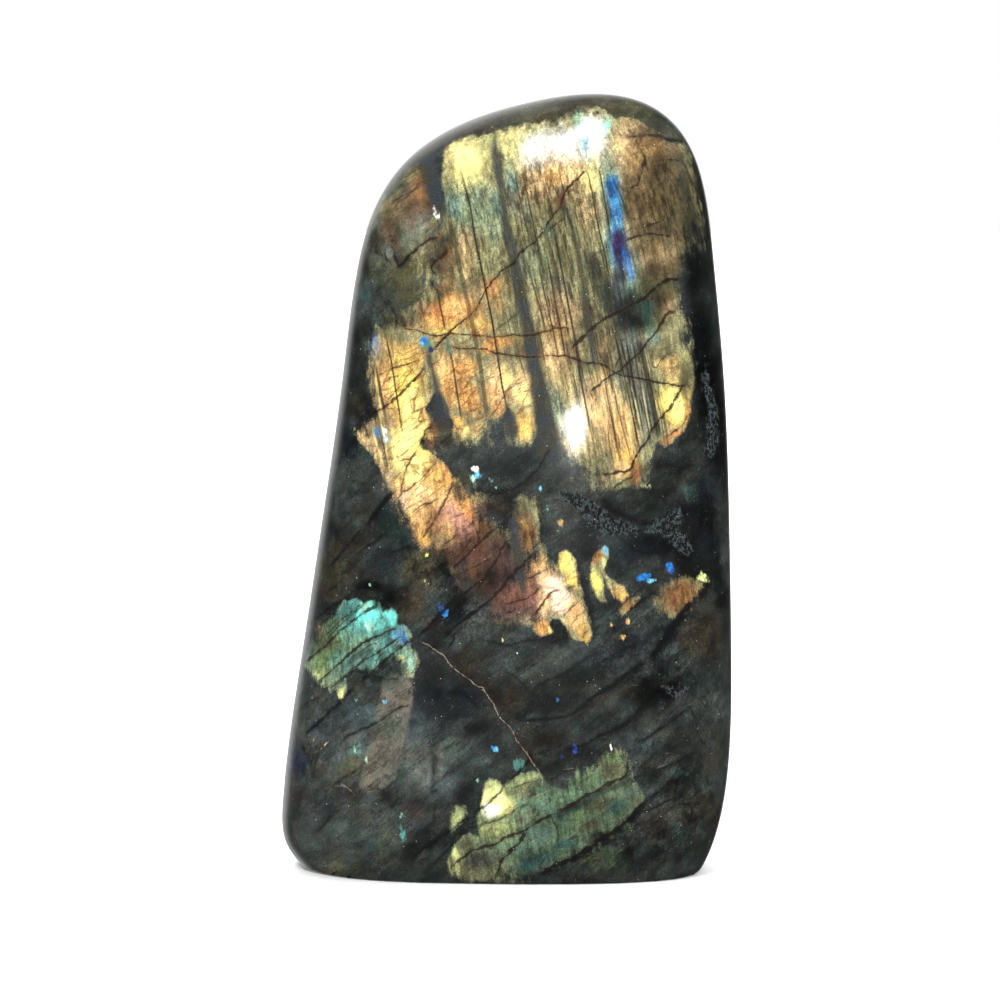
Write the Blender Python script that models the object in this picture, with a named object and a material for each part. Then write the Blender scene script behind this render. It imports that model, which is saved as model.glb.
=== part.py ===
"""Polished labradorite freeform, at its real size in metres, +Z up, front facing -Y.

The stone is one solid: an upright, hand-polished form with a lopsided arched top, domed front and
back faces that roll over a rounded rim, a few broad ground flats, and a flat sawn base. The origin is
the middle of the base.
"""

import math

import bmesh
import bpy
import numpy as np

MM = 0.001

# Driving dimensions.
HEIGHT = 170 * MM
HALF_WIDTH = 49.5 * MM
FRONT_DEPTH = 26 * MM  # from the rim's plane out to the front face, at the base
BACK_DEPTH = 24 * MM  # from the rim's plane out to the back face, at the base
TOP_THINNING = 0.20  # share of both depths lost between the base and the top
BASE_EASE = 0.5 * MM  # chamfer that takes the sharpness off the sawn edge

# The rim's outline seen from the front, clockwise from the bottom left of the base, as shares of
# HALF_WIDTH and HEIGHT. The points under 0 round the form off below the saw cut.
OUTLINE = (
    (-0.913, 0.000),
    (-0.985, 0.030),
    (-1.000, 0.085),
    (-0.970, 0.165),
    (-0.895, 0.305),
    (-0.806, 0.470),
    (-0.720, 0.638),
    (-0.655, 0.773),
    (-0.586, 0.847),
    (-0.455, 0.909),
    (-0.228, 0.957),
    (0.080, 0.988),
    (0.385, 1.001),
    (0.617, 0.988),
    (0.770, 0.950),
    (0.856, 0.890),
    (0.906, 0.794),
    (0.959, 0.632),
    (0.987, 0.450),
    (1.000, 0.289),
    (0.994, 0.149),
    (0.954, 0.064),
    (0.872, 0.000),
    (0.620, -0.070),
    (0.220, -0.105),
    (-0.240, -0.105),
    (-0.660, -0.070),
)
CORE = (0.03 * HALF_WIDTH, 0.47 * HEIGHT)  # x and z that the faces swell out from

# How square the roll from face to rim is: 2 is an ellipse, and more is boxier.
LEFT_SQUARENESS = 2.35
RIGHT_SQUARENESS = 3.1
TOP_SQUARENESS = 3.8
SQUARENESS_BLEND = 0.6  # cosine of the bearing past which a side's squareness holds in full

# Broad flats left by the grinding wheel: outward normal, distance from CORE, softness of their edge.
GROUND_FLATS = (
    ((-0.36, -0.55, 0.75), 73.0 * MM, 1.6 * MM),  # front of the crown, left of the peak
    ((0.42, -0.66, 0.62), 70.5 * MM, 1.6 * MM),  # front of the crown, right of the peak
    ((-0.52, -0.84, 0.10), 36.0 * MM, 2.0 * MM),  # left of the front
    ((0.66, -0.75, 0.05), 42.0 * MM, 2.0 * MM),  # right of the front
    ((0.06, 0.66, 0.75), 75.0 * MM, 2.5 * MM),  # back of the crown
    ((-0.50, 0.86, -0.02), 34.0 * MM, 3.0 * MM),  # left of the back
    ((0.62, 0.78, -0.10), 40.0 * MM, 2.5 * MM),  # right of the back
)

# Mesh divisions across, through and up the stone, and samples along each span of the outline.
CUTS_ACROSS = 25
CUTS_THROUGH = 9
CUTS_UP = 39
SPAN_SAMPLES = 200


def clear_scene():
    for obj in list(bpy.data.objects):
        bpy.data.objects.remove(obj)


def closed_spline(points, samples):
    """Points along the smooth closed curve through points, whose curvature has no jumps."""
    after, before = np.roll(points, -1, 0), np.roll(points, 1, 0)
    span = np.linalg.norm(after - points, axis=1)
    last = np.roll(span, 1)
    rows = np.diag(2 * (span + last))
    for i in range(len(points)):
        rows[i, i - 1] += span[i]
        rows[i, (i + 1) % len(points)] += last[i]
    pull = 3 * ((span / last)[:, None] * (points - before) + (last / span)[:, None] * (after - points))
    slope = np.linalg.solve(rows, pull)
    t = np.linspace(0, 1, samples, endpoint=False)[None, :, None]
    start, end = points[:, None], after[:, None]
    leave, arrive = (slope * span[:, None])[:, None], (np.roll(slope, -1, 0) * span[:, None])[:, None]
    curve = (
        (2 * t**3 - 3 * t**2 + 1) * start
        + (t**3 - 2 * t**2 + t) * leave
        + (3 * t**2 - 2 * t**3) * end
        + (t**3 - t**2) * arrive
    )
    return curve.reshape(-1, 2)


def rim_reach(bearing):
    """Distance from CORE to the rim along each bearing, an angle in the front view."""
    rim = closed_spline(np.array(OUTLINE) * (HALF_WIDTH, HEIGHT), SPAN_SAMPLES) - CORE
    around = np.arctan2(rim[:, 1], rim[:, 0])
    return np.interp(bearing, around, np.hypot(*rim.T), period=2 * math.pi)


def grind(points, normal, distance, softness):
    """Presses what stands past a plane back onto it, blending over softness."""
    normal = np.array(normal) / np.linalg.norm(normal)
    over = (points - (CORE[0], 0, CORE[1])) @ normal - distance
    excess = softness * np.logaddexp(0, over / softness)
    return points - excess[:, None] * normal


def stone_surface(cube):
    """Carries points on the cube from -1 to 1 out to the surface of the whole stone, uncut."""
    x, y, z = cube.T
    share = np.maximum(np.abs(x), np.abs(z))
    bearing = np.arctan2(z * HEIGHT / 2, x * HALF_WIDTH)
    sides = (-SQUARENESS_BLEND, SQUARENESS_BLEND)
    side_square = np.interp(np.cos(bearing), sides, (LEFT_SQUARENESS, RIGHT_SQUARENESS))
    upward = np.clip(np.sin(bearing), 0, 1) ** 2
    square = side_square + (TOP_SQUARENESS - side_square) * upward
    corner = 0.5 ** (1 / square)  # where the face's grid hands over to the rim's
    on_face = np.abs(y) > 1 - 1e-6
    out = np.where(on_face, share * corner, (1 - np.abs(y * corner) ** square) ** (1 / square))
    through = np.where(on_face, (1 - out**square) ** (1 / square) * np.sign(y), y * corner)
    reach = rim_reach(bearing) * out
    side, height = CORE[0] + reach * np.cos(bearing), CORE[1] + reach * np.sin(bearing)
    depth = np.where(y < 0, FRONT_DEPTH, BACK_DEPTH) * (1 - TOP_THINNING * height / HEIGHT)
    points = np.stack((side, through * depth, height), axis=1)
    for normal, distance, softness in GROUND_FLATS:
        points = grind(points, normal, distance, softness)
    return points


def divided_cube(cuts):
    """A cube from -1 to 1 whose edges along x, y and z have that many cuts."""
    bm = bmesh.new()
    bmesh.ops.create_cube(bm, size=2)
    for axis, count in enumerate(cuts):
        along = [e for e in bm.edges if abs((e.verts[0].co - e.verts[1].co).normalized()[axis]) > 0.99]
        bmesh.ops.subdivide_edges(bm, edges=along, cuts=count, use_grid_fill=True)
    return bm


def saw_base(bm):
    """Cuts the stone off flat at z 0, closes the cut and eases its edge."""
    everything = bm.verts[:] + bm.edges[:] + bm.faces[:]
    cut = bmesh.ops.bisect_plane(
        bm, geom=everything, dist=1e-6, plane_co=(0, 0, 0), plane_no=(0, 0, -1), clear_outer=True
    )
    ring = [e for e in cut["geom_cut"] if isinstance(e, bmesh.types.BMEdge)]
    bmesh.ops.contextual_create(bm, geom=ring)
    bmesh.ops.bevel(bm, geom=ring, offset=BASE_EASE, affect="EDGES", segments=1, profile=0.5, material=-1)
    bmesh.ops.recalc_face_normals(bm, faces=bm.faces)


def centre_over_origin(bm):
    corners = np.array([v.co for v in bm.verts], float)
    middle = (corners.min(0) + corners.max(0)) / 2
    bmesh.ops.translate(bm, verts=bm.verts, vec=(-middle[0], -middle[1], 0))


def stone_material():
    material = bpy.data.materials.new("polished_labradorite")
    material.use_nodes = True
    shader = material.node_tree.nodes["Principled BSDF"]
    shader.inputs["Base Color"].default_value = (0.075, 0.085, 0.078, 1)
    shader.inputs["Roughness"].default_value = 0.12
    shader.inputs["Metallic"].default_value = 0.0
    return material


def make_stone(collection):
    bm = divided_cube((CUTS_ACROSS, CUTS_THROUGH, CUTS_UP))
    shaped = stone_surface(np.array([v.co for v in bm.verts], float))
    for vert, place in zip(bm.verts, shaped):
        vert.co = place
    saw_base(bm)
    centre_over_origin(bm)
    mesh = bpy.data.meshes.new("labradorite_stone")
    bm.to_mesh(mesh)
    bm.free()
    mesh.shade_smooth()
    mesh.set_sharp_from_angle(angle=math.radians(30))
    mesh.materials.append(stone_material())
    stone = bpy.data.objects.new("labradorite_stone", mesh)
    collection.objects.link(stone)


def main():
    clear_scene()
    collection = bpy.data.collections.new("polished_labradorite")
    bpy.context.scene.collection.children.link(collection)
    make_stone(collection)


main()
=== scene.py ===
"""The finished look of a polished labradorite freeform, and a plain pale studio to see it in."""

import math
from functools import reduce

import bmesh
import bpy
import numpy as np
from bpy.props import FloatProperty, FloatVectorProperty, IntProperty, PointerProperty
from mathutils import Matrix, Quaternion, Vector, noise


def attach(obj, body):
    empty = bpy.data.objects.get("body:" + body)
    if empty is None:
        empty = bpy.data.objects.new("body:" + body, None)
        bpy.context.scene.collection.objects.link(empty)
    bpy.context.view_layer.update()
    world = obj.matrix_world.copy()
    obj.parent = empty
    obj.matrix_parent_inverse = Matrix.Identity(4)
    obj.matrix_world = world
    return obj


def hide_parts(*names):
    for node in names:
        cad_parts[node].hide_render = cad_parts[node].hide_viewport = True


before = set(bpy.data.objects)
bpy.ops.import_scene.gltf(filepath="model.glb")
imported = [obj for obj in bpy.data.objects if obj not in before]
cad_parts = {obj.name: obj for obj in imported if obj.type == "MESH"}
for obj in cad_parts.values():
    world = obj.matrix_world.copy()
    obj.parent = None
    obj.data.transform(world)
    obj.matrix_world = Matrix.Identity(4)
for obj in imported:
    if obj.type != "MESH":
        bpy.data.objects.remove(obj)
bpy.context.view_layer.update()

bl_info = {
    "name": "Polished Labradorite",
    "version": (1, 0, 0),
    "blender": (4, 5, 0),
    "location": "View3D > Sidebar > Stone",
    "description": "Makes a polished labradorite freeform and a plain studio for it",
    "category": "Add Mesh",
}

MM = 0.001
NODE = "labradorite_stone"

# ---------------------------------------------------------------- form of the stone

HEIGHT = 170 * MM
HALF_WIDTH = 49.5 * MM
FRONT_DEPTH = 26 * MM  # from the rim's plane out to the front face, at the base
BACK_DEPTH = 24 * MM  # from the rim's plane out to the back face, at the base
TOP_THINNING = 0.20  # share of both depths lost between the base and the top
BASE_EASE = 0.5 * MM  # rounding of the sawn edge

# The rim seen from the front, clockwise from the bottom left, as shares of HALF_WIDTH and HEIGHT.
OUTLINE = (
    (-0.913, 0), (-0.985, 0.03), (-1, 0.085), (-0.97, 0.165), (-0.895, 0.305), (-0.806, 0.47),
    (-0.72, 0.638), (-0.655, 0.773), (-0.586, 0.847), (-0.455, 0.909), (-0.228, 0.957), (0.08, 0.988),
    (0.385, 1.001), (0.617, 0.988), (0.77, 0.95), (0.856, 0.89), (0.906, 0.794), (0.959, 0.632),
    (0.987, 0.45), (1, 0.289), (0.994, 0.149), (0.954, 0.064), (0.872, 0), (0.62, -0.07), (0.22, -0.105),
    (-0.24, -0.105), (-0.66, -0.07),
)
CORE = (0.03 * HALF_WIDTH, 0.47 * HEIGHT)  # x and z that the stone swells out from

# How square the roll from face to rim is: 2 is an ellipse, and more is boxier.
LEFT_SQUARENESS = 2.35
RIGHT_SQUARENESS = 3.1
TOP_SQUARENESS = 3.8
SQUARENESS_BLEND = 0.6  # how far left or right of CORE a side's own squareness is reached, as a cosine

# Outward normal, distance from CORE and softness of each flat that the grinding wheel left.
GROUND_FLATS = (
    ((-0.36, -0.55, 0.75), 73.0 * MM, 1.6 * MM),
    ((0.42, -0.66, 0.62), 70.5 * MM, 1.6 * MM),
    ((-0.52, -0.84, 0.10), 36.0 * MM, 2.0 * MM),
    ((0.66, -0.75, 0.05), 42.0 * MM, 2.0 * MM),
    ((0.06, 0.66, 0.75), 75.0 * MM, 2.5 * MM),
    ((-0.50, 0.86, -0.02), 34.0 * MM, 3.0 * MM),
    ((0.62, 0.78, -0.10), 40.0 * MM, 2.5 * MM),
)
SPAN_SAMPLES = 200  # samples along each span of the outline
TINY = 1e-6
ALIGNED = 0.99  # cosine past which an edge runs along an axis
SHARP_ANGLE = math.radians(35)  # an edge that turns more than this shades sharp

# ---------------------------------------------------------------- the front view

# Marks are placed on a square view of the stone, 1000 units wide, with x to the right and y down.
VIEW_WIDTH = 1000
VIEW_REACH = 3660  # view units that a slope of 1 from the camera's axis covers
VIEW_MIDDLE = (506, 485)  # where the camera's target shows
VIEW_ELEVATION = math.radians(8)
VIEW_DISTANCE = 0.8  # from the camera to its target, in metres
VIEW_TARGET = np.array((0, 0, HEIGHT / 2))
SENSOR = 36.0  # width of the camera's sensor, in millimetres

LAMELLA_TILT = math.radians(10)  # how far the twin planes lean from upright, in the front view
LAMELLA_DIP = math.radians(25)  # how far they turn into the stone

# ---------------------------------------------------------------- colours


def paint(red, green, blue):
    """A colour given as a screen shows it, from 0 to 255, made linear."""
    return tuple(
        c / 12.92 if c <= 0.04045 else ((c + 0.055) / 1.055) ** 2.4
        for c in (red / 255, green / 255, blue / 255)
    )


COLOURS = {
    name: paint(*screen)
    for name, *screen in (
        ("snow", 255, 255, 246), ("cream", 248, 234, 150), ("butter", 255, 236, 146),
        ("gold", 255, 222, 114), ("honey", 238, 188, 102), ("apricot", 244, 194, 124),
        ("peach", 250, 208, 146), ("blush", 250, 216, 184), ("rose", 206, 150, 132),
        ("rosewood", 152, 102, 84), ("mauve", 120, 88, 78), ("amber", 232, 168, 92),
        ("copper", 208, 134, 78), ("rust", 124, 66, 34), ("russet", 150, 104, 72), ("sienna", 124, 84, 54),
        ("bronze", 162, 116, 68), ("ochre", 190, 156, 96), ("straw", 210, 186, 128), ("tan", 190, 162, 116),
        ("camel", 156, 132, 92), ("khaki", 152, 148, 106), ("olive", 108, 104, 74), ("moss", 84, 84, 60),
        ("sage", 154, 170, 134), ("verdigris", 118, 150, 134), ("pewter", 130, 134, 120),
        ("flint", 108, 110, 98), ("dust", 108, 100, 86), ("milk", 136, 130, 114), ("crown", 80, 78, 65),
        ("dusk", 64, 62, 52), ("lemon", 246, 238, 122), ("lime", 226, 232, 152), ("pear", 194, 204, 134),
        ("leaf", 132, 160, 100), ("jade", 122, 154, 118), ("fern", 94, 116, 78), ("teal", 74, 120, 110),
        ("sea", 94, 154, 142), ("mint", 172, 226, 198), ("aqua", 116, 224, 210), ("sky", 110, 192, 230),
        ("azure", 34, 120, 198), ("cobalt", 44, 66, 156), ("navy", 38, 48, 88), ("plum", 60, 40, 78),
        ("steel", 86, 98, 98), ("slate", 60, 68, 70), ("ash", 92, 98, 92), ("smoke", 70, 76, 73),
        ("bark", 74, 67, 54), ("umber", 54, 46, 38), ("coal", 36, 39, 39), ("ink_blue", 36, 44, 52),
        ("ink_green", 40, 54, 50), ("pitch", 16, 18, 19), ("soot", 38, 30, 22),
        ("tar", 30, 21, 14), ("shadow", 58, 64, 70), ("bone", 186, 166, 140),
    )
}

# ---------------------------------------------------------------- flash on the front

# Softness of the edge, then the outline.
FLASH_PATCHES = {
    "main_sheet": (1.2, ((446, 146), (455, 140), (475, 137), (520, 127), (545, 126), (560, 123), (580, 113),
        (590, 109), (602, 110), (612, 118), (626, 117), (642, 123), (672, 142), (684, 152), (692, 172),
        (696, 196), (697, 220), (692, 237), (682, 247), (676, 260), (675, 278), (684, 318), (679, 331),
        (684, 344), (688, 362), (688, 384), (691, 400), (690, 416), (684, 430), (674, 441), (665, 447),
        (657, 441), (652, 456), (644, 467), (641, 482), (630, 487), (612, 489), (600, 480), (592, 472),
        (578, 464), (566, 450), (558, 430), (548, 390), (543, 380), (535, 392), (537, 430), (531, 444),
        (522, 447), (515, 440), (509, 408), (498, 420), (488, 419), (484, 429), (482, 438), (471, 443),
        (463, 440), (458, 428), (446, 413), (442, 398), (437, 390), (431, 397), (424, 409), (430, 419),
        (427, 432), (421, 440), (422, 449), (436, 456), (447, 466), (458, 492), (470, 498), (479, 506),
        (481, 518), (504, 534), (516, 562), (518, 580), (519, 600), (510, 618), (498, 616), (484, 604),
        (444, 552), (428, 549), (419, 544), (413, 526), (391, 488), (384, 478), (370, 448), (360, 446),
        (355, 434), (366, 424), (374, 414), (377, 400), (373, 380), (371, 356), (371, 338), (374, 330),
        (384, 326), (398, 322), (404, 314), (414, 304), (424, 296), (430, 286), (428, 272), (432, 260),
        (439, 250), (432, 240), (430, 228), (447, 212), (443, 194), (441, 176))),
    "rose_tongue": (1, ((524, 577), (538, 555), (542, 553), (553, 566), (558, 562), (560, 553), (565, 550),
        (571, 553), (575, 560), (579, 585), (582, 598), (590, 624), (592, 635), (588, 646), (584, 641),
        (570, 638), (566, 628), (560, 620), (552, 618), (548, 625), (552, 632), (545, 637), (537, 634),
        (533, 624), (510, 619), (500, 606), (500, 590), (510, 580))),
    "lemon_chip": (0.8, ((592, 562), (595, 553), (605, 546), (609, 548), (608, 558), (604, 568), (603, 590),
        (607, 603), (600, 600), (594, 592), (590, 580))),
    "bronze_fleck": (1.2, ((603, 572), (627, 590), (632, 597), (640, 597), (633, 606), (621, 619),
        (618, 608), (621, 602), (613, 597))),
    "bronze_pane": (3, ((658, 600), (664, 590), (674, 582), (684, 577), (696, 578), (702, 586), (694, 598),
        (677, 617), (666, 614), (660, 608))),
    "bronze_streak": (2.2, ((516, 500), (524, 496), (534, 498), (540, 512), (536, 540), (532, 552),
        (525, 558), (515, 522))),
    "teal_wing": (0.9, ((340, 606), (346, 599), (353, 597), (359, 599), (364, 605), (367, 601), (375, 600),
        (376, 609), (379, 602), (382, 606), (383, 612), (392, 608), (397, 615), (398, 626), (404, 624),
        (410, 631), (413, 639), (408, 647), (414, 650), (417, 660), (416, 670), (413, 678), (404, 677),
        (406, 668), (402, 659), (394, 654), (384, 661), (374, 670), (362, 668), (352, 669), (342, 676),
        (334, 680), (326, 688), (318, 684), (307, 668), (306, 660), (318, 638), (327, 627))),
    "lime_spur": (0.8, ((330, 679), (346, 678), (347, 690), (343, 703), (336, 701), (329, 690))),
    "green_slab": (1.1, ((484, 785), (490, 779), (499, 781), (504, 787), (512, 777), (522, 773), (533, 771),
        (541, 774), (546, 783), (558, 788), (571, 786), (574, 776), (582, 772), (592, 769), (601, 762),
        (608, 755), (616, 753), (624, 757), (628, 768), (628, 780), (637, 784), (643, 791), (643, 801),
        (625, 818), (613, 824), (606, 833), (596, 839), (578, 853), (566, 858), (552, 866), (536, 872),
        (515, 876), (500, 878), (480, 876), (450, 869), (446, 864), (455, 845), (462, 837), (470, 833),
        (479, 838), (479, 828), (476, 818), (481, 806))),
    "lime_wisp": (2, ((455, 808), (464, 805), (467, 814), (459, 824), (451, 831), (451, 818))),
}

# Twin planes that show as broad dark bands: x, y and half width at each point.
VEINS = (
    ((431, 140, 6), (427, 158, 8), (429, 175, 8), (434, 192, 7), (440, 206, 6), (443, 214, 4)),
    ((493, 131, 0), (494, 142, 3), (497, 156, 6), (499, 172, 5), (502, 198, 1.5), (505, 214, 3),
     (509, 238, 5), (514, 262, 6), (519, 286, 6.5), (524, 310, 6), (530, 345, 6), (536, 375, 7.5),
     (541, 400, 9), (546, 425, 10), (550, 450, 13)),
    ((560, 196, 0), (568, 214, 0.6), (574, 238, 1.4), (580, 262, 1.4), (584, 290, 3), (588, 320, 2.6),
     (592, 348, 1.6), (597, 380, 0.6), (603, 415, 0.4), (612, 470, 0)),
    ((505, 400, 0), (509, 415, 5), (512, 430, 7)),
    ((429, 356, 3), (433, 372, 2), (437, 390, 3), (441, 406, 7), (444, 424, 8)),
    ((513, 520, 4), (516, 545, 5), (520, 570, 5), (523, 590, 3)),
    ((676, 146, 1), (679, 165, 2), (684, 200, 3), (690, 234, 3)),
)

# Thin twin lines: half width, darkness, then the points.
LAMELLAE = (
    (2.3, 0.62, ((447, 216), (452, 232), (474, 332), (480, 365), (485, 400), (488, 422))),
    (1, 0.95, ((459, 165), (465, 185), (470, 205), (475, 238), (492, 320), (502, 385), (508, 414))),
    (1, 0.9, ((436, 284), (441, 310), (447, 338))),
    (1.1, 0.8, ((448, 344), (453, 365), (459, 405), (462, 422))),
    (0.6, 0.6, ((418, 294), (422, 310), (427, 332))),
    (0.9, 0.9, ((384, 328), (391, 360), (399, 410), (403, 437))),
    (1.3, 0.85, ((367, 308), (372, 345), (381, 395), (386, 418))),
    (0.8, 0.7, ((377, 420), (384, 448), (390, 478))),
    (0.8, 0.75, ((512, 160), (518, 190), (526, 226), (533, 255))),
    (0.7, 0.75, ((520, 162), (527, 195), (535, 232), (541, 258))),
    (0.8, 0.75, ((524, 250), (533, 285), (541, 312), (547, 336))),
    (0.8, 0.8, ((536, 250), (545, 296), (553, 330), (562, 378))),
    (0.6, 0.6, ((531, 170), (538, 200), (545, 240))),
    (0.9, 0.85, ((544, 240), (553, 290), (560, 325), (569, 380))),
    (1.1, 0.9, ((553, 226), (558, 250), (575, 340), (580, 375), (585, 402), (593, 442))),
    (0.7, 0.7, ((556, 158), (561, 180), (566, 200))), (0.7, 0.6, ((577, 158), (578, 186))),
    (0.9, 0.88, ((586, 164), (592, 192), (598, 225), (606, 260), (611, 286))),
    (0.9, 0.88, ((597, 158), (603, 190), (608, 220), (612, 248))),
    (0.6, 0.6, ((608, 150), (610, 172), (625, 206), (630, 226), (632, 246))),
    (0.7, 0.55, ((572, 210), (580, 244), (588, 262))), (0.6, 0.5, ((588, 232), (594, 262), (601, 286))),
    (0.8, 0.8, ((603, 370), (608, 400), (614, 430), (622, 472))),
    (0.7, 0.75, ((612, 378), (618, 410), (626, 440), (632, 464))),
    (0.7, 0.6, ((604, 335), (609, 352), (614, 368))),
    (1.3, 0.9, ((612, 322), (619, 352), (625, 385), (633, 420), (641, 458))),
    (0.8, 0.8, ((618, 330), (626, 362), (632, 395), (641, 440))),
    (0.8, 0.8, ((624, 330), (631, 366), (638, 405), (647, 452))),
    (0.8, 0.75, ((631, 334), (637, 365), (643, 400), (652, 448))),
    (2.8, 0.8, ((637, 336), (643, 356), (656, 420), (661, 444))),
    (0.5, 0.45, ((650, 176), (652, 206), (656, 236))), (0.5, 0.45, ((478, 176), (486, 206), (490, 236))),
    (0.5, 0.45, ((640, 240), (646, 262), (648, 280))), (0.6, 0.6, ((500, 290), (508, 322), (514, 352))),
    (0.6, 0.6, ((512, 330), (522, 366), (530, 392))),
)

# Thin twin lines that are paler than the stone round them.
PALE_LINES = (
    (1, 0.95, ((374, 362), (378, 392), (383, 424))), (0.9, 0.95, ((377, 402), (384, 436), (391, 480))),
    (1, 0.9, ((371, 420), (376, 442), (386, 474))),
    (0.9, 0.55, ((591, 356), (597, 385), (603, 420), (609, 448))),
    (0.8, 0.7, ((629, 378), (637, 410), (644, 446))), (0.7, 0.65, ((621, 368), (628, 400), (636, 440))),
    (0.8, 0.6, ((642, 386), (646, 410), (652, 440))),
)

# The filled fissure, and short scratches and crumbs like it.
SEAMS = (
    (0.3, 0.9, ((419, 641), (428, 645), (438, 652), (444, 655), (448, 662), (452, 667), (470, 680),
     (475, 685), (483, 688), (496, 708), (498, 716), (510, 727), (514, 733), (517, 741), (521, 747),
     (527, 753), (533, 764), (538, 770), (542, 778), (543, 788))),
    (0.2, 0.6, ((512, 728), (519, 735), (527, 738))),
    (0.2, 0.7, ((333, 777), (341, 783), (350, 790), (356, 797))),
    (0.2, 0.7, ((530, 800), (538, 795), (548, 791), (552, 790))),
    (0.2, 0.6, ((590, 820), (598, 814), (607, 808))), (0.2, 0.6, ((562, 770), (568, 769), (576, 768))),
    (0.2, 0.5, ((655, 769), (662, 766), (672, 762))), (0.2, 0.6, ((566, 822), (574, 816), (581, 809))),
    (0.2, 0.55, ((482, 561), (487, 558), (492, 554))),
)

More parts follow.
